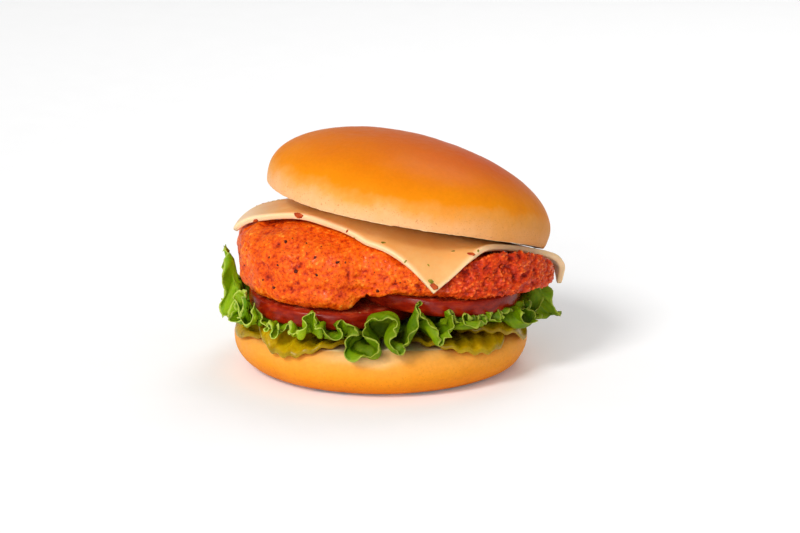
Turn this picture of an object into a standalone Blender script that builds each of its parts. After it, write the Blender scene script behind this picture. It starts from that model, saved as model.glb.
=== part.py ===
"""Chicken burger: heel bun, crinkle-cut pickle slices, frilly lettuce leaf, two tomato slices, a breaded
chicken fillet, a draped cheese slice and a tilted crown bun. Metres, +Z up.

The origin is the middle of the heel's flat underside. -Y is the front of the burger, +X its right side.
Every layer is laid on what is below it: a height function gives the top of each layer, and the next
layer keeps GAP to it.
"""

import math

import bmesh
import bpy
import numpy as np

GAP = 0.00035
# A layer on the heel stays this many gaps clear of it, and the leaf this many of what it rests on
HEEL_GAPS = 1.3
LEAF_GAPS = 1.8
CROWN_GAPS = 1.5

# Heel, the lower half of the bun
BUN_RADIUS = 0.0525
HEEL_HEIGHT = 0.0175
HEEL_BASE_RADIUS = 0.0405
HEEL_WIDEST_AT = 0.0110
HEEL_SHOULDER = 0.0060
HEEL_FLARE = 0.9
HEEL_UNEVEN = 0.006
HEEL_DENT = 0.0028
HEEL_DENT_SPREAD = 0.0150

# Crown, the upper half, leaning down to the right and to the back, its soft bread warped like a saddle
CROWN_RADIUS = 0.0508
CROWN_STRETCH = 0.015
CROWN_UNEVEN = 0.004
CROWN_HEIGHT = 0.0295
CROWN_EDGE = 0.0012
CROWN_WIDEST_AT = 0.0050
CROWN_FULLNESS = 1.94
CROWN_CENTRE = (0.0084, 0.0, 0.0532)
CROWN_ROLL = math.radians(14.5)
CROWN_PITCH = math.radians(-8.6)
CROWN_WARP = 0.0025
CROWN_WARP_HIGH = math.radians(-40.0)

# Pickle slices: name, centre on the heel, radius. Each lies on the heel and on the ones before it.
PICKLE_THICKNESS = 0.0027
PICKLE_CLEAR = 0.0019
PICKLE_OVERLAP_FALL = 0.0070
PICKLE_SAG = 58.0
PICKLES = (
    ("pickle_left_back", -0.0350, -0.0125, 0.0170),
    ("pickle_left_front", -0.0240, -0.0270, 0.0188),
    ("pickle_right_front", 0.0250, -0.0270, 0.0178),
    ("pickle_right_side", 0.0345, -0.0160, 0.0168),
)

# Tomato slices: name, centre, radius, height of the underside at the centre, slopes along X and Y
TOMATO_THICKNESS = 0.0057
TOMATO_UNEVEN = 0.012
TOMATO_EDGE = 0.97
TOMATOES = (
    ("tomato_left", -0.0165, -0.0130, 0.0305, 0.0245, -0.02, 0.05),
    ("tomato_right", 0.0190, -0.0130, 0.0300, 0.0292, -0.08, 0.05),
)

# Lettuce: a leaf whose margin is much longer than its middle, so that it frills
LEAF_THICKNESS = 0.0008
LEAF_REACH = 0.0548
LEAF_FRILLS = 28
LEAF_FRILL_MIDDLE = 0.0250
LEAF_FRILL_HEIGHT = 0.0045
LEAF_FRILL_CURL = 0.0018
LEAF_FRILL_LEAN = 0.0020
LEAF_FRILLS_FROM = 0.0240
LEAF_FOLD_WIDTHS = (0.65, 1.40)
LEAF_FOLD_HEIGHTS = (0.70, 1.30)
LEAF_FOLD_SEED = 7
LEAF_UNEVEN_REACH = 0.0016
LEAF_CURL_UNEVEN = (0.8, 0.6)
# Of the room between what is under the leaf and what is on it: the share kept below it, and that of its waves
LEAF_RESTS_LOW = 0.25
LEAF_WAVES_UNDER = 0.18
LEAF_HANGS_FROM = 0.0400
LEAF_LOWEST = 0.0100
LEAF_OFF_BUN = 0.0018
LEAF_FALL = 8.0
LEAF_RISE = 5.0
LEAF_OFF_FILLET = 0.0015
LEAF_OFF_TOMATO = 0.0035
LEAF_UNDER_CHEESE = 0.0030
LEAF_FREE_BEFORE = 0.0170
LEAF_FREE_FROM = (-0.010, 0.020)
# Lobes that stand out from the frill: azimuth and spread in degrees, extra reach, lift, extra frill height
LEAF_LOBES = (
    (189.0, 8.0, 0.0010, 0.0060, 0.0070),
    (206.0, 7.0, 0.0010, 0.0022, 0.0020),
    (222.0, 8.0, 0.0016, 0.0030, 0.0006),
    (238.0, 6.0, 0.0006, 0.0008, -0.0004),
    (249.0, 5.0, -0.0006, 0.0022, -0.0022),
    (262.0, 4.0, 0.0014, -0.0045, 0.0006),
    (269.0, 3.0, -0.0010, 0.0015, 0.0022),
    (283.0, 7.0, 0.0010, 0.0000, 0.0034),
    (300.0, 9.0, -0.0006, 0.0028, -0.0014),
    (316.0, 7.0, -0.0008, 0.0026, -0.0016),
    (332.0, 6.0, 0.0010, 0.0010, 0.0010),
    (352.0, 8.0, 0.0045, -0.0005, 0.0014),
)

# Fillet: thick lobe on the left, thin tail on the right
FILLET_CENTRE = (0.0050, -0.0030)
FILLET_LEFT = 0.0560
FILLET_RIGHT = 0.0560
FILLET_FRONT = 0.0423
FILLET_BACK = 0.0450
FILLET_SQUARENESS = 2.6
FILLET_UNEVEN = 0.012
FILLET_TOP_FULLNESS = 2.7
FILLET_TAIL_FULLNESS = 4.6
FILLET_TAIL_FROM = (0.018, 0.042)
FILLET_TAIL_BEFORE = (-0.019, 0.000)
FILLET_BACK_ROUNDING = 0.6
FILLET_BACK_FROM = (0.0, 0.015)
FILLET_LEFT_ROUNDING = 0.6
FILLET_LEFT_FROM = (-0.022, -0.042)
FILLET_UNDER_FULLNESS = 8.0
FILLET_UNDER_LIFT = 0.0002
FILLET_BELLY = 0.42
FILLET_LEFT_DROP = 0.0004
FILLET_LEFT_DROPS_FROM = (0.000, -0.042)
FILLET_FRONT_DROP = 0.0016
FILLET_FRONT_DROPS_FROM = (-0.022, -0.040)
FILLET_LUMPS = 0.0006
FILLET_BACK_SAG = 0.0055
FILLET_BACK_SAGS_FROM = (0.016, 0.034)
# The step of its underside from the left tomato slice up to the right one
FILLET_STEP_OFF = (0.0035, 0.0090)
FILLET_STEP_FROM = (-0.004, 0.006)
# Where the fillet's outline is drawn in: azimuth in degrees, spread in radians, share of the reach
FILLET_HOLLOWS = ((-106.0, 0.13, 0.07), (-42.0, 0.25, 0.03), (38.0, 0.42, 0.15))

# Cheese: a slice laid over the fillet
CHEESE_LENGTH = 0.0885
CHEESE_WIDTH = 0.0790
CHEESE_THICKNESS = 0.0025
CHEESE_CLEAR = 0.0011
CHEESE_HANGS_OFF = 0.0018
CHEESE_CENTRE = (0.0094, -0.0037)
CHEESE_TURN = math.radians(-32.0)
CHEESE_SLUMP = math.radians(11.0)
CHEESE_RESTS_AT = 0.0315
# Its right corner hangs clear of the fillet's end: azimuth and spread in radians, further down, further off
CHEESE_FREE_END = (0.06, 0.34, 0.0110, 0.0013)
CHEESE_FLARE = math.radians(12.0)
CHEESE_BEND = 0.0040
CHEESE_EDGE = (-0.003, 0.005)

AROUND_BUN = 38
AROUND_FILLET = 50
AROUND_SLICE = 26
CHEESE_CELLS = 15
HEEL_FACE_RINGS = (0.82, 0.62, 0.42, 0.20)
CROWN_FACE_RING = 0.55
PICKLE_RINGS = (0.5, 0.78, 0.95)
LEAF_STEPS = 6
LEAF_RINGS = (0.36, 0.55, 0.68, 0.79, 0.87, 0.94, 1.0)
LEAF_FINE_FROM = 0.75
FILLET_UNDER_RINGS = (0.16, 0.33, 0.5, 0.66, 0.82, 0.93, 0.985)
FILLET_TOP_RINGS = (1.0, 0.985, 0.95, 0.88, 0.78, 0.62, 0.42, 0.2)


def clear_scene():
    for obj in list(bpy.data.objects):
        bpy.data.objects.remove(obj, do_unlink=True)


def food_material(name, colour, roughness):
    material = bpy.data.materials.new(name)
    material.use_nodes = True
    shader = material.node_tree.nodes["Principled BSDF"]
    shader.inputs["Base Color"].default_value = (*colour, 1.0)
    shader.inputs["Roughness"].default_value = roughness
    shader.inputs["Metallic"].default_value = 0.0
    return material


def smoothstep(low, high, value):
    share = np.clip((value - low) / (high - low), 0.0, 1.0)
    return share * share * (3.0 - 2.0 * share)


def uneven(angle, seed, lowest=2, highest=6):
    """A smooth closed wave round the circle, within about -1 to 1."""
    rng = np.random.default_rng(seed)
    total = np.zeros_like(np.asarray(angle, float))
    for count in range(lowest, highest + 1):
        total = total + rng.normal(0.0, 0.45) * np.sin(count * angle + rng.uniform(0.0, 2.0 * math.pi))
    return total


def angles(count):
    return np.arange(count) * 2.0 * math.pi / count


def ring_solid(name, rings, bottom, top, material):
    """A closed body from rings of points, listed from its lowest to its highest, and a point at each end."""
    shape = bmesh.new()
    loops = [[shape.verts.new(point) for point in ring] for ring in rings]
    count = len(loops[0])
    for low, high in zip(loops, loops[1:]):
        for i in range(count):
            j = (i + 1) % count
            shape.faces.new((low[i], low[j], high[j], high[i]))
    under, over = shape.verts.new(bottom), shape.verts.new(top)
    for i in range(count):
        j = (i + 1) % count
        shape.faces.new((loops[0][j], loops[0][i], under))
        shape.faces.new((loops[-1][i], loops[-1][j], over))
    return finished(name, shape, material)


def finished(name, shape, material):
    bmesh.ops.recalc_face_normals(shape, faces=shape.faces)
    mesh = bpy.data.meshes.new(name)
    shape.to_mesh(mesh)
    shape.free()
    mesh.materials.append(material)
    mesh.shade_smooth()
    mesh.set_sharp_from_angle(angle=math.radians(40))
    obj = bpy.data.objects.new(name, mesh)
    bpy.context.scene.collection.objects.link(obj)
    return obj


# Height functions: the top of each layer at a place


def heel_top(x, y):
    """The heel's cut face, dented where the pickles press on the soft bread."""
    dent = np.zeros_like(x)
    for _, cx, cy, _ in PICKLES:
        dent = np.maximum(dent, np.exp(-((x - cx) ** 2 + (y - cy) ** 2) / (2.0 * HEEL_DENT_SPREAD**2)))
    return HEEL_HEIGHT - HEEL_DENT * dent


def drape_on_heel(x, y):
    """Where a limp slice lies on the heel: on the cut face, and sagging past the rim."""
    past = np.maximum(np.hypot(x, y) - (BUN_RADIUS - HEEL_SHOULDER), 0.0)
    return heel_top(x, y) - PICKLE_SAG * past**2


def over_disc(x, y, centre_x, centre_y, radius, spare, fall):
    """1 on a disc and spare past its edge, falling to 0 over the next stretch."""
    outside = np.hypot(x - centre_x, y - centre_y) - radius
    return 1.0 - smoothstep(spare, spare + fall, outside)


def pickle_floor(x, y, upto):
    """Where the underside of pickle number upto lies, on the heel and the pickles before it."""
    height = drape_on_heel(x, y) + HEEL_GAPS * GAP
    for _, cx, cy, radius in PICKLES[:upto]:
        share = over_disc(x, y, cx, cy, radius, PICKLE_CLEAR, PICKLE_OVERLAP_FALL)
        height = height + (PICKLE_THICKNESS + GAP) * share
    return height


def leaf_floor(x, y):
    """What the leaf lies on."""
    return pickle_floor(x, y, len(PICKLES))


def tomato_underside(x, y, tomato):
    _, cx, cy, _, height, slope_x, slope_y = tomato
    return height + slope_x * (x - cx) + slope_y * (y - cy)


def leaf_ceiling(x, y):
    """What lies on the leaf: the tomato slices, past them the fillet, and at the back also the cheese."""
    off_x, off_y = x - FILLET_CENTRE[0], y - FILLET_CENTRE[1]
    outside = np.hypot(off_x, off_y) - fillet_reach(np.arctan2(off_y, off_x)) - LEAF_OFF_FILLET
    height = fillet_floor(x, y) + LEAF_RISE * np.maximum(outside, 0.0)
    for tomato in TOMATOES:
        outside = np.hypot(x - tomato[1], y - tomato[2]) - tomato[3] - LEAF_OFF_TOMATO
        height = np.minimum(height, tomato_underside(x, y, tomato) + LEAF_RISE * np.maximum(outside, 0.0))
    before = 1.0 - smoothstep(*LEAF_FREE_FROM, y)
    return np.minimum(height, CHEESE_RESTS_AT - LEAF_UNDER_CHEESE + LEAF_FREE_BEFORE * before)


def fillet_floor(x, y):
    """The underside of the fillet: on the left slice of tomato, and on the right one, which lies higher."""
    left, right = TOMATOES
    low = tomato_underside(x, y, left) + TOMATO_THICKNESS + GAP
    high = tomato_underside(x, y, right) + TOMATO_THICKNESS + GAP
    share = over_disc(x, y, right[1], right[2], right[3], *FILLET_STEP_OFF)
    share = np.maximum(share, smoothstep(*FILLET_STEP_FROM, x))
    sag = FILLET_BACK_SAG * smoothstep(*FILLET_BACK_SAGS_FROM, y)
    return low + np.maximum(high - low, 0.0) * share - sag


def crown_turn():
    """The rotation of the crown: pitched about X, then rolled about Y."""
    pitch, roll = CROWN_PITCH, CROWN_ROLL
    about_x = np.array([
        [1.0, 0.0, 0.0],
        [0.0, math.cos(pitch), -math.sin(pitch)],
        [0.0, math.sin(pitch), math.cos(pitch)],
    ])
    about_y = np.array([
        [math.cos(roll), 0.0, math.sin(roll)],
        [0.0, 1.0, 0.0],
        [-math.sin(roll), 0.0, math.cos(roll)],
    ])
    return about_y @ about_x


def crown_warp(x, y):
    """How far the saddle lifts the crown at a place from its middle."""
    share = (x**2 + y**2) / CROWN_RADIUS**2
    return CROWN_WARP * share * np.cos(2.0 * (np.arctan2(y, x) - CROWN_WARP_HIGH))


def crown_face(x, y):
    """The height of the crown's cut face."""
    cx, cy, cz = CROWN_CENTRE
    normal = crown_turn()[:, 2]
    plane = cz - (normal[0] * (x - cx) + normal[1] * (y - cy)) / normal[2]
    return plane + crown_warp(x - cx, y - cy)


def past_cheese(x, y):
    """0 under the cheese slice, 1 clear of its front right side."""
    side = CHEESE_TURN + math.pi / 2 - CHEESE_SLUMP
    past = math.sin(side) * (x - CHEESE_CENTRE[0]) - math.cos(side) * (y - CHEESE_CENTRE[1])
    edge = CHEESE_LENGTH / 2 * math.cos(CHEESE_SLUMP)
    return smoothstep(edge + CHEESE_EDGE[0], edge + CHEESE_EDGE[1], past)


def fillet_ceiling(x, y):
    """The height that the fillet's top would have without its rounded sides."""
    bare = past_cheese(x, y)
    over = (CHEESE_THICKNESS + CHEESE_CLEAR) * (1.0 - bare)
    left = FILLET_LEFT_DROP * smoothstep(*FILLET_LEFT_DROPS_FROM, x)
    front = FILLET_FRONT_DROP * smoothstep(*FILLET_FRONT_DROPS_FROM, y) * (1.0 - bare)
    lumps = FILLET_LUMPS * (1.0 - np.sin(95.0 * x + 1.0) * np.cos(80.0 * y + 0.6))
    return crown_face(x, y) - CROWN_GAPS * GAP - over - left - front - lumps


# The bun


def heel(material):
    theta = angles(AROUND_BUN)
    around = np.stack((np.cos(theta), np.sin(theta)), axis=1)
    radius = BUN_RADIUS * (1.0 + HEEL_UNEVEN * uneven(theta, 3))
    rings = []
    for turn in np.linspace(0.0, math.pi / 2, 6):
        out = HEEL_BASE_RADIUS + (radius - HEEL_BASE_RADIUS) * math.sin(turn) ** HEEL_FLARE
        height = np.full_like(theta, HEEL_WIDEST_AT * (1.0 - math.cos(turn)))
        rings.append(np.column_stack((around * out[:, None], height)))
    for turn in np.linspace(0.0, math.pi / 2, 5)[1:]:
        out = radius - HEEL_SHOULDER * (1.0 - math.cos(turn))
        top = heel_top(*(around * out[:, None]).T)
        height = HEEL_WIDEST_AT + (top - HEEL_WIDEST_AT) * math.sin(turn)
        rings.append(np.column_stack((around * out[:, None], height)))
    for share in HEEL_FACE_RINGS:
        place = around * (radius * share)[:, None]
        rings.append(np.column_stack((place, heel_top(*place.T))))
    middle = float(heel_top(np.zeros(1), np.zeros(1))[0])
    return ring_solid("bun_heel", rings, (0.0, 0.0, 0.0), (0.0, 0.0, middle), material)


def crown_outline():
    """(share of the radius kept from the edge, height) from the cut face's rim up over the dome."""
    points = []
    for turn in np.linspace(0.0, math.pi / 2, 5):
        inset = CROWN_EDGE * (1.0 - math.sin(turn))
        points.append((1.0, -inset, CROWN_WIDEST_AT * (1.0 - math.cos(turn))))
    rise = CROWN_HEIGHT - CROWN_WIDEST_AT
    power = 2.0 / CROWN_FULLNESS
    for turn in np.linspace(0.0, math.pi / 2, 11)[1:-1]:
        points.append((math.cos(turn) ** power, 0.0, CROWN_WIDEST_AT + rise * math.sin(turn) ** power))
    return points


def crown(material):
    theta = angles(AROUND_BUN)
    around = np.stack((np.cos(theta), np.sin(theta)), axis=1)
    radius = CROWN_RADIUS * (1.0 + CROWN_STRETCH * np.cos(2.0 * theta) + CROWN_UNEVEN * uneven(theta, 8))
    rings = [crown_ring(around * (radius * CROWN_FACE_RING)[:, None], 0.0)]
    for share, inset, height in crown_outline():
        rings.append(crown_ring(around * (radius * share + inset)[:, None], height))
    low, high = crown_ring(np.zeros((1, 2)), 0.0)[0], crown_ring(np.zeros((1, 2)), CROWN_HEIGHT)[0]
    return ring_solid("bun_crown", rings, low, high, material)


def crown_ring(place, height):
    """Points of the crown at one level, warped, tilted and put in place."""
    x, y = place.T
    flat = np.column_stack((x, y, height + crown_warp(x, y)))
    return flat @ crown_turn().T + np.array(CROWN_CENTRE)


# Slices


def slice_rings(place, radius, underside, thickness, shares):
    """Rings of a round slice on a height function, from the middle of its underside to that of its top."""
    theta = angles(AROUND_SLICE)
    profile = [(share, 0.0) for share in shares] + [(1.0, 0.5)] + [(share, 1.0) for share in shares[::-1]]
    rings = []
    for share, lift in profile:
        x = place[0] + radius * share * np.cos(theta)
        y = place[1] + radius * share * np.sin(theta)
        rings.append(np.column_stack((x, y, underside(x, y) + thickness * lift)))
    middle = float(underside(np.array([place[0]]), np.array([place[1]]))[0])
    return rings, (*place, middle), (*place, middle + thickness)


def pickles(material):
    for number, (name, cx, cy, radius) in enumerate(PICKLES):
        rings, low, high = slice_rings(
            (cx, cy), radius, lambda x, y, n=number: pickle_floor(x, y, n), PICKLE_THICKNESS, PICKLE_RINGS
        )
        ring_solid(name, rings, low, high, material)


def tomatoes(material):
    for tomato in TOMATOES:
        name, cx, cy, radius = tomato[:4]
        wave = 1.0 + TOMATO_UNEVEN * uneven(angles(AROUND_SLICE), len(name))
        rings, low, high = slice_rings(
            (cx, cy),
            radius * wave,
            lambda x, y, t=tomato: tomato_underside(x, y, t),
            TOMATO_THICKNESS,
            (TOMATO_EDGE,),
        )
        ring_solid(name, rings, low, high, material)


# Lettuce


def lobes(azimuth):
    """(extra reach, lift, extra frill height) at each azimuth, from the list of lobes."""
    extra = np.zeros((3, *azimuth.shape))
    for place, spread, *amounts in LEAF_LOBES:
        off = (np.degrees(azimuth) - place + 180.0) % 360.0 - 180.0
        share = np.exp(-0.5 * (off / spread) ** 2)
        for row, amount in enumerate(amounts):
            extra[row] += amount * share
    return extra


def folds(count, seed):
    """(azimuth, height as a share of the usual) of each crest and trough of a frill, a turn and one more."""
    rng = np.random.default_rng(seed)
    widths = rng.uniform(*LEAF_FOLD_WIDTHS, 2 * count)
    stops = np.concatenate(([0.0], np.cumsum(widths))) * 2.0 * math.pi / widths.sum()
    heights = rng.uniform(*LEAF_FOLD_HEIGHTS, 2 * count)
    return stops, np.append(heights, heights[0])


def frill(azimuth, count=LEAF_FRILLS, seed=LEAF_FOLD_SEED):
    """(phase, swell) of a frill at each azimuth."""
    stops, heights = folds(count, seed)
    half_folds = np.interp(azimuth % (2.0 * math.pi), stops, np.arange(len(stops)))
    return math.pi * half_folds, np.interp(half_folds, np.arange(len(stops)), heights)


def leaf_azimuths(steps):
    """Azimuths with this many steps in each fold, whatever its width."""
    stops, _ = folds(LEAF_FRILLS, LEAF_FOLD_SEED)
    return np.interp(np.arange(LEAF_FRILLS * steps) * 2.0 / steps, np.arange(len(stops)), stops)


def leaf_rest(x, y):
    """The lowest place for the leaf: on the pickles and the heel, or hanging clear outside the rim."""
    past = np.maximum(np.hypot(x, y) - BUN_RADIUS - LEAF_OFF_BUN, 0.0)
    hanging = leaf_floor(x, y) + LEAF_GAPS * GAP - LEAF_FALL * past
    return np.maximum(hanging, LEAF_LOWEST) + LEAF_THICKNESS / 2


def leaf_point(azimuth, share):
    """A point of the leaf's middle surface, at an azimuth and a share of the way out to its margin.

    Seen from outside, the frill is a meander: the leaf swings up and down, and sideways twice as often.
    Where it swings down it also reaches further out.
    """
    reach, lift, taller = lobes(azimuth)
    phase, swell = frill(azimuth)
    outward = (LEAF_REACH + reach + LEAF_UNEVEN_REACH * uneven(azimuth, 33, 9, 17)) * share
    frilled = smoothstep(LEAF_FRILLS_FROM, 0.9 * LEAF_REACH, outward)
    curliness = LEAF_CURL_UNEVEN[0] + LEAF_CURL_UNEVEN[1] * uneven(azimuth, 17, 4, 12)
    curl = LEAF_FRILL_CURL * frilled * curliness * np.sin(2.0 * phase)
    turned = azimuth + curl / np.maximum(outward, LEAF_FRILLS_FROM)
    outward = outward - LEAF_FRILL_LEAN * frilled * swell * np.cos(phase)
    x, y = outward * np.cos(turned), outward * np.sin(turned)
    past = smoothstep(LEAF_HANGS_FROM, LEAF_REACH, outward)
    floor = leaf_rest(x, y)
    ceiling = leaf_ceiling(x, y) - GAP - LEAF_THICKNESS / 2
    room = np.maximum(ceiling - floor, 0.0)
    resting = floor + room * (LEAF_RESTS_LOW + LEAF_WAVES_UNDER * frilled * np.cos(phase))
    hanging = LEAF_FRILL_MIDDLE + lift + (LEAF_FRILL_HEIGHT + taller) * swell * np.cos(phase)
    height = resting + (hanging - resting) * past
    return x, y, np.clip(height, floor, np.maximum(ceiling, floor))


def lettuce(material):
    azimuth = leaf_azimuths(LEAF_STEPS)
    shape = bmesh.new()
    loops = []
    for share in LEAF_RINGS:
        places = azimuth[::3] if share < LEAF_FINE_FROM else azimuth
        points = np.column_stack(leaf_point(places, share))
        loops.append([shape.verts.new(point) for point in points])
    middle = float(leaf_rest(np.zeros(1), np.zeros(1))[0])
    centre = shape.verts.new((0.0, 0.0, middle))
    for i, vertex in enumerate(loops[0]):
        shape.faces.new((centre, vertex, loops[0][(i + 1) % len(loops[0])]))
    for inner, outer in zip(loops, loops[1:]):
        join_loops(shape, inner, outer)
    obj = finished("lettuce_leaf", shape, material)
    solid = obj.modifiers.new("Thickness", "SOLIDIFY")
    solid.thickness = LEAF_THICKNESS
    solid.offset = 0.0
    return obj


def join_loops(shape, inner, outer):
    """Faces between two closed loops, where the outer one has a whole number of steps for each inner one."""
    steps = len(outer) // len(inner)
    for i, vertex in enumerate(inner):
        following = inner[(i + 1) % len(inner)]
        first = i * steps
        edge = [outer[(first + k) % len(outer)] for k in range(steps + 1)]
        middle = (steps + 1) // 2
        for k in range(steps):
            corner = vertex if k < middle else following
            shape.faces.new((corner, edge[k], edge[k + 1]))
        shape.faces.new((vertex, edge[middle], following))


# Fillet


def fillet_reach(theta):
    """Distance from the fillet's axis to its outline, at the fillet's widest level."""
    along, across = np.cos(theta), np.sin(theta)
    length = np.where(along < 0.0, FILLET_LEFT, FILLET_RIGHT)
    width = np.where(across < 0.0, FILLET_FRONT, FILLET_BACK)
    power = FILLET_SQUARENESS
    reach = (np.abs(along / length) ** power + np.abs(across / width) ** power) ** (-1.0 / power)
    for place, spread, depth in FILLET_HOLLOWS:
        reach = reach * (1.0 - depth * np.exp(-((theta_off(theta, math.radians(place)) / spread) ** 2)))
    return reach * (1.0 + FILLET_UNEVEN * uneven(theta, 41, 3, 9))


def theta_off(theta, place):
    return (theta - place + math.pi) % (2.0 * math.pi) - math.pi


def fillet_profile(theta, share, upper):
    """(distance from the axis, height) of the fillet's top or underside, at a share of its reach."""
    reach = fillet_reach(theta) * share
    x = FILLET_CENTRE[0] + reach * np.cos(theta)
    y = FILLET_CENTRE[1] + reach * np.sin(theta)
    front_of_tail = smoothstep(*FILLET_TAIL_FROM, x) * (1.0 - smoothstep(*FILLET_TAIL_BEFORE, y))
    power = FILLET_TOP_FULLNESS + FILLET_TAIL_FULLNESS * front_of_tail
    power = power - FILLET_BACK_ROUNDING * smoothstep(*FILLET_BACK_FROM, y)
    power = power - FILLET_LEFT_ROUNDING * smoothstep(*FILLET_LEFT_FROM, x)
    power = power if upper else FILLET_UNDER_FULLNESS
    top, under = fillet_ceiling(x, y), fillet_floor(x, y) + FILLET_UNDER_LIFT
    belly = under + FILLET_BELLY * (top - under)
    bulge = (1.0 - share**power) ** (1.0 / power)
    return reach, belly + ((top if upper else under) - belly) * bulge


def fillet(material):
    theta = angles(AROUND_FILLET)
    rings = []
    for upper, shares in ((False, FILLET_UNDER_RINGS), (True, FILLET_TOP_RINGS)):
        for share in shares:
            reach, height = fillet_profile(theta, np.full_like(theta, share), upper)
            x = FILLET_CENTRE[0] + reach * np.cos(theta)
            y = FILLET_CENTRE[1] + reach * np.sin(theta)
            rings.append(np.column_stack((x, y, height)))
    ends = []
    for upper in (False, True):
        _, height = fillet_profile(np.zeros(1), np.zeros(1), upper)
        ends.append((*FILLET_CENTRE, float(height[0])))
    return ring_solid("chicken_fillet", rings, ends[0], ends[1], material)


# Cheese


def cheese_point(flat_x, flat_y):
    """Where a point of the flat slice lies when it is laid on the fillet.

    The slice is walked outwards from the fillet's axis over the fillet's side, keeping its length. Past the
    fillet's widest level it hangs straight down, and where it would reach the lettuce it turns outwards.
    """
    theta = math.atan2(flat_y, flat_x)
    distance = math.hypot(flat_x, flat_y)
    place, spread, further_down, further_off = CHEESE_FREE_END
    free = math.exp(-((theta_off(theta, place) / spread) ** 2))
    rests_at = CHEESE_RESTS_AT - further_down * free
    share = np.sin(np.linspace(0.0, math.pi / 2, 60)) ** 0.7
    out, height = fillet_profile(np.full_like(share, theta), share, True)
    slope_out, slope_up = np.gradient(out), np.gradient(height)
    length = np.hypot(slope_out, slope_up) + 1e-12
    away = CHEESE_THICKNESS / 2 + CHEESE_CLEAR + further_off * free * share**6
    out = np.maximum(out - slope_up / length * away, 0.0)
    height = height + slope_out / length * away
    bend = float(np.clip(height[-1] - rests_at, 0.0, CHEESE_BEND))
    turned = np.linspace(0.0, math.pi / 2 - CHEESE_FLARE, 5)
    out = np.concatenate((out, out[-1] + CHEESE_HANGS_OFF * (1.0 - free) + bend * (1.0 - np.cos(turned))))
    height = np.concatenate((height, rests_at + bend * (1.0 - np.sin(turned))))
    out = np.append(out, out[-1] + CHEESE_LENGTH * math.cos(CHEESE_FLARE))
    height = np.append(height, height[-1] - CHEESE_LENGTH * math.sin(CHEESE_FLARE))
    walked = np.concatenate(([0.0], np.cumsum(np.hypot(np.diff(out), np.diff(height)))))
    reach = float(np.interp(distance, walked, out))
    level = float(np.interp(distance, walked, height))
    return (
        FILLET_CENTRE[0] + reach * math.cos(theta),
        FILLET_CENTRE[1] + reach * math.sin(theta),
        level,
    )


def slice_point(u, v):
    """Where a place of the cheese slice lies. From its middle, u and v run along its sides on the flat."""
    along, across = CHEESE_TURN, CHEESE_TURN + math.pi / 2 - CHEESE_SLUMP
    flat_x = CHEESE_CENTRE[0] - FILLET_CENTRE[0] + u * math.cos(along) + v * math.cos(across)
    flat_y = CHEESE_CENTRE[1] - FILLET_CENTRE[1] + u * math.sin(along) + v * math.sin(across)
    return cheese_point(flat_x, flat_y)


def cheese(material):
    across = np.linspace(-CHEESE_WIDTH / 2, CHEESE_WIDTH / 2, CHEESE_CELLS + 1)
    along = np.linspace(-CHEESE_LENGTH / 2, CHEESE_LENGTH / 2, CHEESE_CELLS + 1)
    shape = bmesh.new()
    grid = [[shape.verts.new(slice_point(u, v)) for u in along] for v in across]
    for low, high in zip(grid, grid[1:]):
        for i in range(CHEESE_CELLS):
            shape.faces.new((low[i], low[i + 1], high[i + 1], high[i]))
    obj = finished("cheese_slice", shape, material)
    solid = obj.modifiers.new("Thickness", "SOLIDIFY")
    solid.thickness = CHEESE_THICKNESS
    solid.offset = 0.0
    return obj


def main():
    clear_scene()
    bread = food_material("bread", (0.86, 0.42, 0.08), 0.45)
    heel(bread)
    pickles(food_material("pickle", (0.55, 0.45, 0.03), 0.25))
    lettuce(food_material("lettuce", (0.22, 0.42, 0.02), 0.35))
    tomatoes(food_material("tomato", (0.55, 0.03, 0.01), 0.2))
    fillet(food_material("breaded_chicken", (0.85, 0.18, 0.02), 0.5))
    cheese(food_material("cheese", (0.93, 0.68, 0.33), 0.35))
    crown(bread)


main()
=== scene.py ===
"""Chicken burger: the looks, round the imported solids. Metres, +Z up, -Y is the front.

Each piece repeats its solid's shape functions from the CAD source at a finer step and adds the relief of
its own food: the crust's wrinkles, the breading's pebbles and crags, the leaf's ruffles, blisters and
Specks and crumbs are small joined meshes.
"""

import math

import bpy
import numpy as np
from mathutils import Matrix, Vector


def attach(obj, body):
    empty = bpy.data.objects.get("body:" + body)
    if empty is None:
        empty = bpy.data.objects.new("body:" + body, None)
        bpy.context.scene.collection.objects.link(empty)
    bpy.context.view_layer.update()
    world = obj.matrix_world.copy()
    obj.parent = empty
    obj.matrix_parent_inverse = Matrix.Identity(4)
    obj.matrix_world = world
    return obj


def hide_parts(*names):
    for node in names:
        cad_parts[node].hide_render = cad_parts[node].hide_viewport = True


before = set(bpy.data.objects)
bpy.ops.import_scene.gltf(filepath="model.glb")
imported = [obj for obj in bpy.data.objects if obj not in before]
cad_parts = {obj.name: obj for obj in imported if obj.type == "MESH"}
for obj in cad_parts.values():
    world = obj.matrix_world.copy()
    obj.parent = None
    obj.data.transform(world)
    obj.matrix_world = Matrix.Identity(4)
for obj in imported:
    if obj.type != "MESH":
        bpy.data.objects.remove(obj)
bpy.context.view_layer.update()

# The shape, with the same names and sizes as in the CAD source

GAP = 0.00035
# A layer on the heel stays this many gaps clear of it, and the leaf this many of what it rests on
HEEL_GAPS = 1.3
LEAF_GAPS = 1.8
CROWN_GAPS = 1.5

# Heel, the lower half of the bun
BUN_RADIUS = 0.0525
HEEL_HEIGHT = 0.0175
HEEL_BASE_RADIUS = 0.0405
HEEL_WIDEST_AT = 0.0110
HEEL_SHOULDER = 0.0060
HEEL_FLARE = 0.9
HEEL_UNEVEN = 0.006
HEEL_DENT = 0.0028
HEEL_DENT_SPREAD = 0.0150

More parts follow.
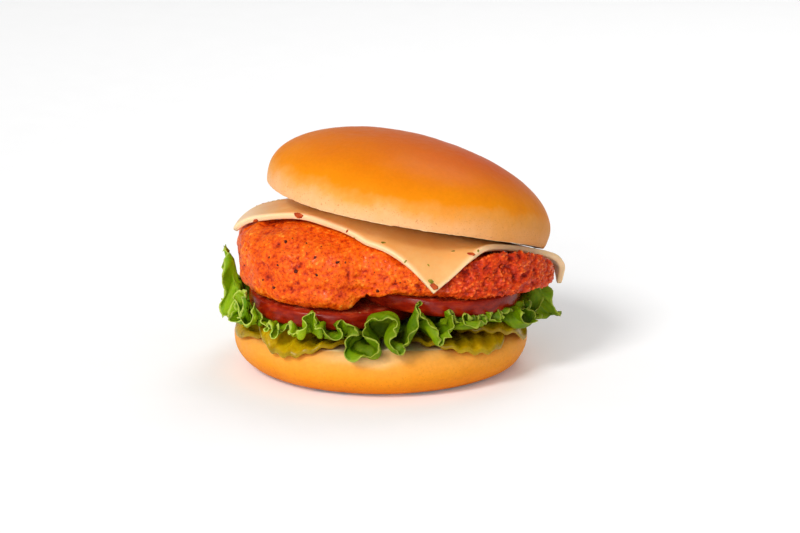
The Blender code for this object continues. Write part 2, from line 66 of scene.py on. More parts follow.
# Crown, the upper half, leaning down to the right and to the back, its soft bread warped like a saddle
CROWN_RADIUS = 0.0508
CROWN_STRETCH = 0.015
CROWN_UNEVEN = 0.004
CROWN_HEIGHT = 0.0295
CROWN_EDGE = 0.0012
CROWN_WIDEST_AT = 0.0050
CROWN_FULLNESS = 1.94
CROWN_CENTRE = (0.0084, 0.0, 0.0532)
CROWN_ROLL = math.radians(14.5)
CROWN_PITCH = math.radians(-8.6)
CROWN_WARP = 0.0025
CROWN_WARP_HIGH = math.radians(-40.0)

# Pickle slices: name, centre on the heel, radius. Each lies on the heel and on the ones before it.
PICKLE_THICKNESS = 0.0027
PICKLE_CLEAR = 0.0019
PICKLE_OVERLAP_FALL = 0.0070
PICKLE_SAG = 58.0
PICKLES = (
    ("pickle_left_back", -0.0350, -0.0125, 0.0170),
    ("pickle_left_front", -0.0240, -0.0270, 0.0188),
    ("pickle_right_front", 0.0250, -0.0270, 0.0178),
    ("pickle_right_side", 0.0345, -0.0160, 0.0168),
)

# Tomato slices: name, centre, radius, height of the underside at the centre, slopes along X and Y
TOMATO_THICKNESS = 0.0057
TOMATO_UNEVEN = 0.012
TOMATO_EDGE = 0.97
TOMATOES = (
    ("tomato_left", -0.0165, -0.0130, 0.0305, 0.0245, -0.02, 0.05),
    ("tomato_right", 0.0190, -0.0130, 0.0300, 0.0292, -0.08, 0.05),
)

# Lettuce: a leaf whose margin is much longer than its middle, so that it frills
LEAF_THICKNESS = 0.0008
LEAF_REACH = 0.0548
LEAF_FRILLS = 28
LEAF_FRILL_MIDDLE = 0.0250
LEAF_FRILL_HEIGHT = 0.0045
LEAF_FRILL_CURL = 0.0018
LEAF_FRILL_LEAN = 0.0020
LEAF_FRILLS_FROM = 0.0240
LEAF_FOLD_WIDTHS = (0.65, 1.40)
LEAF_FOLD_HEIGHTS = (0.70, 1.30)
LEAF_FOLD_SEED = 7
LEAF_UNEVEN_REACH = 0.0016
LEAF_CURL_UNEVEN = (0.8, 0.6)
# Of the room between what is under the leaf and what is on it: the share kept below it, and that of its waves
LEAF_RESTS_LOW = 0.25
LEAF_WAVES_UNDER = 0.18
LEAF_HANGS_FROM = 0.0400
LEAF_LOWEST = 0.0100
LEAF_OFF_BUN = 0.0018
LEAF_FALL = 8.0
LEAF_RISE = 5.0
LEAF_OFF_FILLET = 0.0015
LEAF_OFF_TOMATO = 0.0035
LEAF_UNDER_CHEESE = 0.0030
LEAF_FREE_BEFORE = 0.0170
LEAF_FREE_FROM = (-0.010, 0.020)
# Lobes that stand out from the frill: azimuth and spread in degrees, extra reach, lift, extra frill height
LEAF_LOBES = (
    (189.0, 8.0, 0.0010, 0.0060, 0.0070),
    (206.0, 7.0, 0.0010, 0.0022, 0.0020),
    (222.0, 8.0, 0.0016, 0.0030, 0.0006),
    (238.0, 6.0, 0.0006, 0.0008, -0.0004),
    (249.0, 5.0, -0.0006, 0.0022, -0.0022),
    (262.0, 4.0, 0.0014, -0.0045, 0.0006),
    (269.0, 3.0, -0.0010, 0.0015, 0.0022),
    (283.0, 7.0, 0.0010, 0.0000, 0.0034),
    (300.0, 9.0, -0.0006, 0.0028, -0.0014),
    (316.0, 7.0, -0.0008, 0.0026, -0.0016),
    (332.0, 6.0, 0.0010, 0.0010, 0.0010),
    (352.0, 8.0, 0.0045, -0.0005, 0.0014),
)

# Fillet: thick lobe on the left, thin tail on the right
FILLET_CENTRE = (0.0050, -0.0030)
FILLET_LEFT = 0.0560
FILLET_RIGHT = 0.0560
FILLET_FRONT = 0.0423
FILLET_BACK = 0.0450
FILLET_SQUARENESS = 2.6
FILLET_UNEVEN = 0.012
FILLET_TOP_FULLNESS = 2.7
FILLET_TAIL_FULLNESS = 4.6
FILLET_TAIL_FROM = (0.018, 0.042)
FILLET_TAIL_BEFORE = (-0.019, 0.000)
FILLET_BACK_ROUNDING = 0.6
FILLET_BACK_FROM = (0.0, 0.015)
FILLET_LEFT_ROUNDING = 0.6
FILLET_LEFT_FROM = (-0.022, -0.042)
FILLET_UNDER_FULLNESS = 8.0
FILLET_UNDER_LIFT = 0.0002
FILLET_BELLY = 0.42
FILLET_LEFT_DROP = 0.0004
FILLET_LEFT_DROPS_FROM = (0.000, -0.042)
FILLET_FRONT_DROP = 0.0016
FILLET_FRONT_DROPS_FROM = (-0.022, -0.040)
FILLET_LUMPS = 0.0006
FILLET_BACK_SAG = 0.0055
FILLET_BACK_SAGS_FROM = (0.016, 0.034)
# The step of its underside from the left tomato slice up to the right one
FILLET_STEP_OFF = (0.0035, 0.0090)
FILLET_STEP_FROM = (-0.004, 0.006)
# Where the fillet's outline is drawn in: azimuth in degrees, spread in radians, share of the reach
FILLET_HOLLOWS = ((-106.0, 0.13, 0.07), (-42.0, 0.25, 0.03), (38.0, 0.42, 0.15))

# Cheese: a slice laid over the fillet
CHEESE_LENGTH = 0.0885
CHEESE_WIDTH = 0.0790
CHEESE_THICKNESS = 0.0025
CHEESE_CLEAR = 0.0011
CHEESE_HANGS_OFF = 0.0018
CHEESE_CENTRE = (0.0094, -0.0037)
CHEESE_TURN = math.radians(-32.0)
CHEESE_SLUMP = math.radians(11.0)
CHEESE_RESTS_AT = 0.0315
# Its right corner hangs clear of the fillet's end: azimuth and spread in radians, further down, further off
CHEESE_FREE_END = (0.06, 0.34, 0.0110, 0.0013)
CHEESE_FLARE = math.radians(12.0)
CHEESE_BEND = 0.0040
CHEESE_EDGE = (-0.003, 0.005)

# Steps of the fine meshes

AROUND_CROWN = 260
AROUND_HEEL = 300
AROUND_PICKLE = 150
AROUND_TOMATO = 220
LEAF_STEPS = 48
AROUND_FILLET = 470
FILLET_FRONT_DENSER = 0.32
FILLET_RINGS = 200
CHEESE_STEPS_PER_SIDE = 56

# Relief, as amplitude and size in metres

CROWN_LUMPS = (0.00028, 0.020)
CRUST_RIPPLE = (0.00007, 0.0045)
HEEL_WRINKLE = (0.00022, 0.0030)
PICKLE_WAVE = 0.00055
PICKLE_WAVE_LENGTH = 0.0053
PICKLE_BODY = 0.0019
PICKLE_TURNS = (0.30, -0.35, 0.15, -0.10)
LEAF_SHEET = 0.00042
# Finer ruffles towards the margin: folds round the leaf, height, share of the way out where they begin, seed
LEAF_RUFFLES = ((66, 0.0014, 0.70, 21), (150, 0.00055, 0.84, 22))
LEAF_TEETH = ((104, 0.0013, 31), (250, 0.0005, 32))
LEAF_TEETH_FROM = 0.90
LEAF_SHADED = (-0.034, -0.006)
LEAF_BLISTER = 0.00030
LEAF_BLISTER_SIZE = 0.0034
FILLET_LUMP = (0.00100, 0.0095)
FILLET_PEBBLE = (0.00060, 0.0022)
FILLET_GRIT = (0.00020, 0.0010)
FILLET_CRAG = (0.00120, 0.0036)
FILLET_CRUMB = (0.00060, 0.0014)
FILLET_MOST = 0.0014
# Creases in the breading's front: x and z of both ends, half width, depth
FILLET_CREASES = (
    (-0.0410, 0.0438, -0.0350, 0.0352, 0.0013, 0.0006),
    (-0.0350, 0.0352, -0.0240, 0.0375, 0.0014, 0.0007),
    (-0.0240, 0.0375, -0.0040, 0.0368, 0.0016, 0.0006),
    (-0.0420, 0.0520, -0.0350, 0.0555, 0.0012, 0.0006),
    (0.0440, 0.0470, 0.0465, 0.0385, 0.0012, 0.0010),
    (0.0330, 0.0450, 0.0360, 0.0370, 0.0012, 0.0008),
)
# Chips of one kind: x and z in the front view, length
PEPPER_SEEN = (
    (-0.0330, 0.0530, 0.0018),
    (-0.0260, 0.0530, 0.0012),
    (-0.0230, 0.0490, 0.0013),
    (-0.0150, 0.0480, 0.0018),
    (-0.0290, 0.0440, 0.0018),
    (-0.0230, 0.0420, 0.0014),
    (-0.0380, 0.0370, 0.0016),
    (-0.0020, 0.0370, 0.0014),
    (-0.0360, 0.0455, 0.0013),
)
RED_FLECKS_SEEN = (
    (-0.0288, 0.0588, 0.0044),
    (0.0303, 0.0506, 0.0040),
    (-0.0437, 0.0547, 0.0026),
    (0.0180, 0.0405, 0.0034),
    (-0.0116, 0.0559, 0.0016),
)
GREEN_FLECKS_SEEN = (
    (0.0011, 0.0540, 0.0020),
    (-0.0095, 0.0540, 0.0012),
    (0.0080, 0.0490, 0.0016),
    (0.0243, 0.0512, 0.0016),
    (0.0333, 0.0513, 0.0014),
    (0.0160, 0.0469, 0.0012),
    (0.0173, 0.0420, 0.0034),
)
# Chips scattered where the front view doesn't reach, and over the whole fillet: how many, lengths
PEPPER_SCATTERED = (150, 0.0003, 0.0010)
CRUMBS_SCATTERED = (420, 0.0006, 0.0022)
FLECKS_SCATTERED = (26, 0.0012, 0.0036)


def scattered(piece, allowed, many, shortest, longest, seed):
    """Spots at random points of a piece: (place, facing, length)."""
    rng = np.random.default_rng(seed)
    chosen = rng.choice(np.flatnonzero(allowed), many, replace=False)
    lengths = shortest + (longest - shortest) * rng.random(many) ** 2
    return list(zip(places(piece)[chosen], facing(piece)[chosen], lengths))


def seen(piece, marks):
    """Spots on the front of a piece, at places given by x and z."""
    points, normals = places(piece), facing(piece)
    spots = []
    for x, z, length in marks:
        away = np.hypot(points[:, 0] - x, points[:, 2] - z)
        near = np.flatnonzero(away < away.min() + 0.0008)
        spot = near[np.argmin(points[near, 1])]
        spots.append((points[spot], normals[spot], length))
    return spots


def chips(name, spots, widths, thickness, seed):
    """Small uneven chips that lie on a surface, most of them lengthways, joined into one mesh."""
    rng = np.random.default_rng(seed)
    around = 7
    points, faces = [], []
    for place, normal, length in spots:
        side = np.cross(normal, (0.0, 0.0, 1.0)) + 0.5 * rng.normal(size=3)
        side -= normal * (side @ normal)
        side /= np.linalg.norm(side)
        across = np.cross(normal, side)
        reach = 0.5 * length * rng.uniform(0.65, 1.15, around)[:, None]
        turn = (angles(around) + rng.uniform(0.0, 0.5, around))[:, None]
        rim = reach * (np.cos(turn) * side + np.sin(turn) * rng.uniform(*widths) * across)
        high = thickness * length
        first = len(points)
        points.append(place - 0.5 * high * normal)
        points.extend(place + rim)
        points.extend(place + 0.72 * rim + 0.5 * high * normal)
        points.append(place + 0.62 * high * normal)
        for i in range(around):
            j = (i + 1) % around
            low, following = first + 1 + i, first + 1 + j
            faces.append((first, following, low))
            faces.append((low, following, following + around, low + around))
            faces.append((low + around, following + around, first + 1 + 2 * around))
    mesh = bpy.data.meshes.new(name)
    mesh.from_pydata([tuple(point) for point in points], [], faces)
    mesh.shade_smooth()
    mesh.update()
    obj = bpy.data.objects.new(name, mesh)
    bpy.context.scene.collection.objects.link(obj)
    return obj


def fillet_angles():
    """Azimuths round the fillet, closer together at its front."""
    even = angles(AROUND_FILLET)
    return even - FILLET_FRONT_DENSER * np.cos(even)


def sheet_normals(middle):
    """Unit normals of a sheet given as closed rings, and unit directions outwards along it."""
    along = np.roll(middle, -1, axis=1) - np.roll(middle, 1, axis=1)
    across = np.gradient(middle, axis=0)
    normal = np.cross(across, along)
    normal /= np.linalg.norm(normal, axis=-1, keepdims=True) + 1e-12
    across /= np.linalg.norm(across, axis=-1, keepdims=True) + 1e-12
    return normal, across


def shown(red, green, blue):
    """The linear colour for a display colour given from 0 to 255."""
    part = np.array([red, green, blue], float) / 255.0
    linear = np.where(part <= 0.04045, part / 12.92, ((part + 0.055) / 1.055) ** 2.4)
    return tuple(float(value) for value in linear)


# Noise


def hashed(cells, seed):
    """A number from 0 to 1 for each cell of a grid."""
    mixed = cells[..., 0] * 374761393 + cells[..., 1] * 668265263 + cells[..., 2] * 974634777 + seed * 1274126177
    mixed = (mixed ^ (mixed >> 13)) & 0xFFFFFFFF
    mixed = (mixed * 1274126177) & 0xFFFFFFFF
    mixed = mixed ^ (mixed >> 16)
    return (mixed & 0xFFFFFF) / float(0xFFFFFF)


def noise(points, size, seed):
    """Smooth noise from -1 to 1, with features of about this size."""
    scaled = points / size
    base = np.floor(scaled).astype(np.int64)
    part = scaled - base
    part = part * part * (3.0 - 2.0 * part)
    total = np.zeros(points.shape[:-1])
    for corner in np.ndindex(2, 2, 2):
        weight = np.prod(np.where(np.array(corner) == 1, part, 1.0 - part), axis=-1)
        total += weight * hashed(base + np.array(corner), seed)
    return 2.0 * total - 1.0


def layered(points, size, seed, octaves=3):
    """Noise with finer and weaker noise on it."""
    total, weight = 0.0, 1.0
    for octave in range(octaves):
        total = total + weight * noise(points, size / 2.1**octave, seed + octave)
        weight *= 0.5
    return total


def cells(points, size, seed):
    """Distances to the nearest and to the second nearest of scattered points, in units of size."""
    scaled = points / size
    base = np.floor(scaled).astype(np.int64)
    near = np.full(points.shape[:-1], 9.0)
    second = near.copy()
    for corner in np.ndindex(3, 3, 3):
        cell = base + np.array(corner) - 1
        spot = np.stack([hashed(cell, seed + axis) for axis in range(3)], axis=-1)
        distance = np.linalg.norm(scaled - cell - spot, axis=-1)
        second = np.minimum(second, np.maximum(distance, near))
        near = np.minimum(near, distance)
    return near, second


def smoothstep(low, high, value):
    share = np.clip((value - low) / (high - low), 0.0, 1.0)
    return share * share * (3.0 - 2.0 * share)


def uneven(angle, seed, lowest=2, highest=6):
    """A smooth closed wave round the circle, within about -1 to 1."""
    rng = np.random.default_rng(seed)
    total = np.zeros_like(np.asarray(angle, float))
    for count in range(lowest, highest + 1):
        total = total + rng.normal(0.0, 0.45) * np.sin(count * angle + rng.uniform(0.0, 2.0 * math.pi))
    return total


def angles(count):
    return np.arange(count) * 2.0 * math.pi / count


# Meshes


def ring_body(name, rings, ends):
    """A closed piece from rings of points, listed from the middle of its underside to that of its top."""
    rings = np.asarray(rings, float)
    count, around = rings.shape[:2]
    points = np.concatenate((rings.reshape(-1, 3), np.asarray(ends, float)))
    first = np.arange(around)
    following = (first + 1) % around
    faces = []
    for ring in range(count - 1):
        low, high = ring * around, (ring + 1) * around
        faces += np.column_stack((low + first, low + following, high + following, high + first)).tolist()
    last = (count - 1) * around
    faces += np.column_stack((following, first, np.full(around, count * around))).tolist()
    faces += np.column_stack((last + first, last + following, np.full(around, count * around + 1))).tolist()
    mesh = bpy.data.meshes.new(name)
    mesh.from_pydata(points.tolist(), [], faces)
    mesh.shade_smooth()
    mesh.update()
    obj = bpy.data.objects.new(name, mesh)
    bpy.context.scene.collection.objects.link(obj)
    return obj


def per_point(rings, ends):
    """Values given for each ring's points and for the two ends, in the order of a ring body's points."""
    return np.concatenate((np.asarray(rings, float).ravel(), np.asarray(ends, float)))


def places(obj):
    flat = np.empty(len(obj.data.vertices) * 3, np.float32)
    obj.data.vertices.foreach_get("co", flat)
    return flat.reshape(-1, 3).astype(float)


def facing(obj):
    flat = np.empty(len(obj.data.vertices) * 3, np.float32)
    obj.data.vertex_normals.foreach_get("vector", flat)
    return flat.reshape(-1, 3).astype(float)


def push(obj, amounts):
    """Moves each point along its normal."""
    moved = places(obj) + facing(obj) * amounts[:, None]
    obj.data.vertices.foreach_set("co", moved.astype(np.float32).ravel())
    obj.data.update()


def mark(obj, name, values):
    """Stores one number for each point, for the material to read."""
    attribute = obj.data.attributes.new(name, "FLOAT", "POINT")
    attribute.data.foreach_set("value", np.asarray(values, np.float32))


def thickened(middle, half):
    """Rings of a thin sheet's two sides, underside first, from rings of its middle surface, and its two ends."""
    normal, _ = sheet_normals(middle)
    normal[0] = normal[0].mean(axis=0)
    offset = normal * np.asarray(half)[..., None]
    rings = np.concatenate((middle - offset, (middle + offset)[::-1]))
    return rings, (rings[0].mean(axis=0), rings[-1].mean(axis=0))


def dress(piece, nodes, material):
    """Puts a finished piece in the place of its CAD nodes."""
    piece.data.materials.append(material)
    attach(piece, "root")
    if nodes:
        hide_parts(*nodes)
    return piece


# Height functions: the top of each layer at a place


def heel_top(x, y):
    """The heel's cut face, dented where the pickles press on the soft bread."""
    dent = np.zeros_like(x)
    for _, cx, cy, _ in PICKLES:
        dent = np.maximum(dent, np.exp(-((x - cx) ** 2 + (y - cy) ** 2) / (2.0 * HEEL_DENT_SPREAD**2)))
    return HEEL_HEIGHT - HEEL_DENT * dent


def drape_on_heel(x, y):
    """Where a limp slice lies on the heel: on the cut face, and sagging past the rim."""
    past = np.maximum(np.hypot(x, y) - (BUN_RADIUS - HEEL_SHOULDER), 0.0)
    return heel_top(x, y) - PICKLE_SAG * past**2


def over_disc(x, y, centre_x, centre_y, radius, spare, fall):
    """1 on a disc and spare past its edge, falling to 0 over the next stretch."""
    outside = np.hypot(x - centre_x, y - centre_y) - radius
    return 1.0 - smoothstep(spare, spare + fall, outside)


def pickle_floor(x, y, upto):
    """Where the underside of pickle number upto lies, on the heel and the pickles before it."""
    height = drape_on_heel(x, y) + HEEL_GAPS * GAP
    for _, cx, cy, radius in PICKLES[:upto]:
        share = over_disc(x, y, cx, cy, radius, PICKLE_CLEAR, PICKLE_OVERLAP_FALL)
        height = height + (PICKLE_THICKNESS + GAP) * share
    return height


def leaf_floor(x, y):
    """What the leaf lies on."""
    return pickle_floor(x, y, len(PICKLES))


def tomato_underside(x, y, tomato):
    _, cx, cy, _, height, slope_x, slope_y = tomato
    return height + slope_x * (x - cx) + slope_y * (y - cy)


def leaf_ceiling(x, y):
    """What lies on the leaf: the tomato slices, past them the fillet, and at the back also the cheese."""
    off_x, off_y = x - FILLET_CENTRE[0], y - FILLET_CENTRE[1]
    outside = np.hypot(off_x, off_y) - fillet_reach(np.arctan2(off_y, off_x)) - LEAF_OFF_FILLET
    height = fillet_floor(x, y) + LEAF_RISE * np.maximum(outside, 0.0)
    for tomato in TOMATOES:
        outside = np.hypot(x - tomato[1], y - tomato[2]) - tomato[3] - LEAF_OFF_TOMATO
        height = np.minimum(height, tomato_underside(x, y, tomato) + LEAF_RISE * np.maximum(outside, 0.0))
    before = 1.0 - smoothstep(*LEAF_FREE_FROM, y)
    return np.minimum(height, CHEESE_RESTS_AT - LEAF_UNDER_CHEESE + LEAF_FREE_BEFORE * before)


def fillet_floor(x, y):
    """The underside of the fillet: on the left slice of tomato, and on the right one, which lies higher."""
    left, right = TOMATOES
    low = tomato_underside(x, y, left) + TOMATO_THICKNESS + GAP
    high = tomato_underside(x, y, right) + TOMATO_THICKNESS + GAP
    share = over_disc(x, y, right[1], right[2], right[3], *FILLET_STEP_OFF)
    share = np.maximum(share, smoothstep(*FILLET_STEP_FROM, x))
    sag = FILLET_BACK_SAG * smoothstep(*FILLET_BACK_SAGS_FROM, y)
    return low + np.maximum(high - low, 0.0) * share - sag


def crown_turn():
    """The rotation of the crown: pitched about X, then rolled about Y."""
    pitch, roll = CROWN_PITCH, CROWN_ROLL
    about_x = np.array([
        [1.0, 0.0, 0.0],
        [0.0, math.cos(pitch), -math.sin(pitch)],
        [0.0, math.sin(pitch), math.cos(pitch)],
    ])
    about_y = np.array([
        [math.cos(roll), 0.0, math.sin(roll)],
        [0.0, 1.0, 0.0],
        [-math.sin(roll), 0.0, math.cos(roll)],
    ])
    return about_y @ about_x


def crown_warp(x, y):
    """How far the saddle lifts the crown at a place from its middle."""
    share = (x**2 + y**2) / CROWN_RADIUS**2
    return CROWN_WARP * share * np.cos(2.0 * (np.arctan2(y, x) - CROWN_WARP_HIGH))


def crown_face(x, y):
    """The height of the crown's cut face."""
    cx, cy, cz = CROWN_CENTRE
    normal = crown_turn()[:, 2]
    plane = cz - (normal[0] * (x - cx) + normal[1] * (y - cy)) / normal[2]
    return plane + crown_warp(x - cx, y - cy)


def past_cheese(x, y):
    """0 under the cheese slice, 1 clear of its front right side."""
    side = CHEESE_TURN + math.pi / 2 - CHEESE_SLUMP
    past = math.sin(side) * (x - CHEESE_CENTRE[0]) - math.cos(side) * (y - CHEESE_CENTRE[1])
    edge = CHEESE_LENGTH / 2 * math.cos(CHEESE_SLUMP)
    return smoothstep(edge + CHEESE_EDGE[0], edge + CHEESE_EDGE[1], past)


def fillet_ceiling(x, y):
    """The height that the fillet's top would have without its rounded sides."""
    bare = past_cheese(x, y)
    over = (CHEESE_THICKNESS + CHEESE_CLEAR) * (1.0 - bare)
    left = FILLET_LEFT_DROP * smoothstep(*FILLET_LEFT_DROPS_FROM, x)
    front = FILLET_FRONT_DROP * smoothstep(*FILLET_FRONT_DROPS_FROM, y) * (1.0 - bare)
    lumps = FILLET_LUMPS * (1.0 - np.sin(95.0 * x + 1.0) * np.cos(80.0 * y + 0.6))
    return crown_face(x, y) - CROWN_GAPS * GAP - over - left - front - lumps


# The bun


def crown_ring(place, height):
    """Points of the crown at one level, warped, tilted and put in place."""
    x, y = place.T
    flat = np.column_stack((x, y, height + crown_warp(x, y)))
    return flat @ crown_turn().T + np.array(CROWN_CENTRE)


def crown_outline():
    """(share of the radius, inset, height, 1 on the cut face) from the cut face's middle over the rim and the dome."""
    points = [(share, 0.0, 0.0, 1.0) for share in np.linspace(0.04, 0.96, 24)]
    for turn in np.linspace(0.0, math.pi / 2, 12):
        inset = CROWN_EDGE * (1.0 - math.sin(turn))
        points.append((1.0, -inset, CROWN_WIDEST_AT * (1.0 - math.cos(turn)), float(turn < 0.2)))
    rise = CROWN_HEIGHT - CROWN_WIDEST_AT
    power = 2.0 / CROWN_FULLNESS
    for turn in np.linspace(0.0, math.pi / 2, 78)[1:-1]:
        points.append((math.cos(turn) ** power, 0.0, CROWN_WIDEST_AT + rise * math.sin(turn) ** power, 0.0))
    return points


def crown():
    theta = angles(AROUND_CROWN)
    around = np.stack((np.cos(theta), np.sin(theta)), axis=1)
    radius = CROWN_RADIUS * (1.0 + CROWN_STRETCH * np.cos(2.0 * theta) + CROWN_UNEVEN * uneven(theta, 8))
    rings, level, cut = [], [], []
    for share, inset, height, on_face in crown_outline():
        rings.append(crown_ring(around * (radius * share + inset)[:, None], height))
        level.append(np.full_like(theta, height / CROWN_HEIGHT))
        cut.append(np.full_like(theta, on_face))
    ends = [crown_ring(np.zeros((1, 2)), height)[0] for height in (0.0, CROWN_HEIGHT)]
    piece = ring_body("crown", rings, ends)
    level, cut = per_point(level, (0.0, 1.0)), per_point(cut, (1.0, 0.0))
    points = places(piece)
    soft = CROWN_LUMPS[0] * noise(points, CROWN_LUMPS[1], 11) + CRUST_RIPPLE[0] * layered(points, CRUST_RIPPLE[1], 12)
    rim = 1.0 - smoothstep(0.02, 0.14, level)
    torn = 0.00016 * layered(points, 0.0016, 13) * rim
    push(piece, soft * (1.0 - 0.6 * cut) + torn - 0.00012 * cut * np.maximum(layered(points, 0.0020, 14), 0.0))
    mark(piece, "level", level)
    mark(piece, "cut", cut)
    # Deeper orange towards the crown's upper right.
    browned = smoothstep(-0.030, 0.048, points[:, 0] + 0.25 * points[:, 1]) * smoothstep(0.45, 0.95, level)
    mark(piece, "browned", browned)
    # Painted shade: the crown's rim is less pale and more orange on the right, where it lies in shade.
    warm = smoothstep(0.005, 0.050, points[:, 0]) * (1.0 - smoothstep(0.20, 0.42, level))
    mark(piece, "warm_rim", 0.75 * warm)
    return piece


def heel():
    theta = angles(AROUND_HEEL)
    around = np.stack((np.cos(theta), np.sin(theta)), axis=1)
    radius = BUN_RADIUS * (1.0 + HEEL_UNEVEN * uneven(theta, 3))
    rings, cut = [], []
    for share in (0.25, 0.5, 0.75, 0.93):
        place = around * HEEL_BASE_RADIUS * share
        rings.append(np.column_stack((place, np.zeros_like(theta))))
        cut.append(np.zeros_like(theta))
    for turn in np.linspace(0.0, math.pi / 2, 30):
        out = HEEL_BASE_RADIUS + (radius - HEEL_BASE_RADIUS) * math.sin(turn) ** HEEL_FLARE
        height = np.full_like(theta, HEEL_WIDEST_AT * (1.0 - math.cos(turn)))
        rings.append(np.column_stack((around * out[:, None], height)))
        cut.append(np.zeros_like(theta))
    for turn in np.linspace(0.0, math.pi / 2, 22)[1:]:
        out = radius - HEEL_SHOULDER * (1.0 - math.cos(turn))
        top = heel_top(*(around * out[:, None]).T)
        height = HEEL_WIDEST_AT + (top - HEEL_WIDEST_AT) * math.sin(turn)
        rings.append(np.column_stack((around * out[:, None], height)))
        cut.append(np.full_like(theta, float(smoothstep(1.25, 1.5, turn))))
    shoulder = 1.0 - HEEL_SHOULDER / BUN_RADIUS
    for share in np.linspace(shoulder, 0.03, 26)[1:]:
        place = around * (radius * share)[:, None]
        rings.append(np.column_stack((place, heel_top(*place.T))))
        cut.append(np.ones_like(theta))
    middle = float(heel_top(np.zeros(1), np.zeros(1))[0])
    piece = ring_body("heel", rings, ((0.0, 0.0, 0.0), (0.0, 0.0, middle)))
    cut = per_point(cut, (0.0, 1.0))
    points = places(piece)
    azimuth = np.arctan2(points[:, 1], points[:, 0])
    round_rim = np.column_stack((azimuth * BUN_RADIUS, points[:, 2] * 0.16, np.zeros(len(points))))
    patches = smoothstep(-0.1, 0.5, noise(points, 0.016, 5))
    wrinkles = -HEEL_WRINKLE[0] * np.maximum(1.0 - 3.0 * np.abs(noise(round_rim, HEEL_WRINKLE[1], 6)), 0.0) * patches
    side = smoothstep(0.0006, 0.0035, points[:, 2]) * (1.0 - cut)
    soft = 0.00030 * noise(points, 0.014, 7) + CRUST_RIPPLE[0] * layered(points, CRUST_RIPPLE[1], 8)
    crumb = -0.00016 * np.maximum(layered(points, 0.0019, 9), 0.0) * cut
    push(piece, (wrinkles + soft) * side + crumb)
    mark(piece, "level", points[:, 2] / HEEL_HEIGHT)
    mark(piece, "cut", cut)
    # Painted highlight: a paler band on the front of the shoulder, which faces up into the light.
    high = smoothstep(0.0118, 0.0150, points[:, 2] + 0.0012 * noise(points, 0.006, 10))
    patch = np.exp(-((theta_off(azimuth, math.radians(-97.0)) / 0.24) ** 2))
    mark(piece, "floury", 0.75 * high * patch * (1.0 - cut))
    return piece


# Slices


def slice_rings(place, radius, profile, underside, thickness, around):
    """Rings of a round slice on a height function. The profile gives (share of the radius, share of the height)."""
    theta = angles(around)
    rings = []
    for share, lift in profile:
        x = place[0] + radius * share * np.cos(theta)
        y = place[1] + radius * share * np.sin(theta)
        rings.append(np.column_stack((x, y, underside(x, y) + thickness(x, y) * lift)))
    return rings, (rings[0].mean(axis=0), rings[-1].mean(axis=0))


def rounded_profile(rings_per_face, edge_rings, edge, squareness):
    """A slice's profile with a rounded edge, which takes this share of the radius."""
    face = np.linspace(0.04, 1.0 - edge, rings_per_face)
    low = [(share, 0.0) for share in face]
    rim = []
    for turn in np.linspace(-math.pi / 2, math.pi / 2, edge_rings + 2)[1:-1]:
        out = math.cos(turn) ** squareness
        rim.append((1.0 - edge + edge * out, 0.5 + 0.5 * math.copysign(abs(math.sin(turn)) ** squareness, turn)))
    return low + rim + [(share, 1.0) for share in face[::-1]]


def pickles():
    made = []
    for number, (name, cx, cy, radius) in enumerate(PICKLES):
        turn = PICKLE_TURNS[number]
        theta = angles(AROUND_PICKLE)
        wave = 1.0 + 0.018 * uneven(theta, 60 + number, 2, 5)

        def ridges(x, y, turn=turn):
            along = x * math.cos(turn) + y * math.sin(turn)
            return np.sin(2.0 * math.pi * along / PICKLE_WAVE_LENGTH)

        def underside(x, y, n=number, ridges=ridges):
            return pickle_floor(x, y, n) + PICKLE_WAVE * (1.0 + ridges(x, y)) - 0.0001

        profile = rounded_profile(22, 9, 0.07, 0.7)
        rings, ends = slice_rings(
            (cx, cy), radius * wave, profile, underside, lambda x, y: PICKLE_BODY, AROUND_PICKLE
        )
        piece = ring_body("crinkle_" + name, rings, ends)
        points = places(piece)
        push(piece, 0.00007 * layered(points, 0.0018, 70 + number))
        shares = np.repeat([share for share, _ in profile], AROUND_PICKLE)
        mark(piece, "out", np.append(shares, (0.0, 0.0)))
        made.append((piece, name))
    return made


def tomatoes():
    made = []
    for number, tomato in enumerate(TOMATOES):
        name, cx, cy, radius = tomato[:4]
        theta = angles(AROUND_TOMATO)
        wave = 1.0 + TOMATO_UNEVEN * np.interp(theta, *closed(angles(26), uneven(angles(26), len(name))))
        profile = rounded_profile(26, 16, 0.035, 0.75)
        rings, ends = slice_rings(
            (cx, cy),
            radius * wave,
            profile,
            lambda x, y, t=tomato: tomato_underside(x, y, t),
            lambda x, y: TOMATO_THICKNESS,
            AROUND_TOMATO,
        )
        piece = ring_body("slice_" + name, rings, ends)
        points = places(piece)
        shares = np.append(np.repeat([share for share, _ in profile], AROUND_TOMATO), (0.0, 0.0))
        lifts = np.append(np.repeat([lift for _, lift in profile], AROUND_TOMATO), (0.0, 1.0))
        flesh = 1.0 - smoothstep(0.955, 0.985, shares)
        push(piece, -0.00022 * flesh * np.maximum(layered(points, 0.0022, 80 + number), -0.2))
        mark(piece, "out", shares)
        mark(piece, "lift", lifts)
        azimuth = np.arctan2(points[:, 1] - cy, points[:, 0] - cx)
        mark(piece, "azimuth", azimuth)
        made.append((piece, name))
    return made


def closed(angle, values):
    """A closed wave's samples with the first repeated a turn later, for interpolation."""
    return np.append(angle, 2.0 * math.pi), np.append(values, values[0])


# Lettuce


def lobes(azimuth):
    """(extra reach, lift, extra frill height) at each azimuth, from the list of lobes."""
    extra = np.zeros((3, *azimuth.shape))
    for place, spread, *amounts in LEAF_LOBES:
        off = (np.degrees(azimuth) - place + 180.0) % 360.0 - 180.0
        share = np.exp(-0.5 * (off / spread) ** 2)
        for row, amount in enumerate(amounts):
            extra[row] += amount * share
    return extra


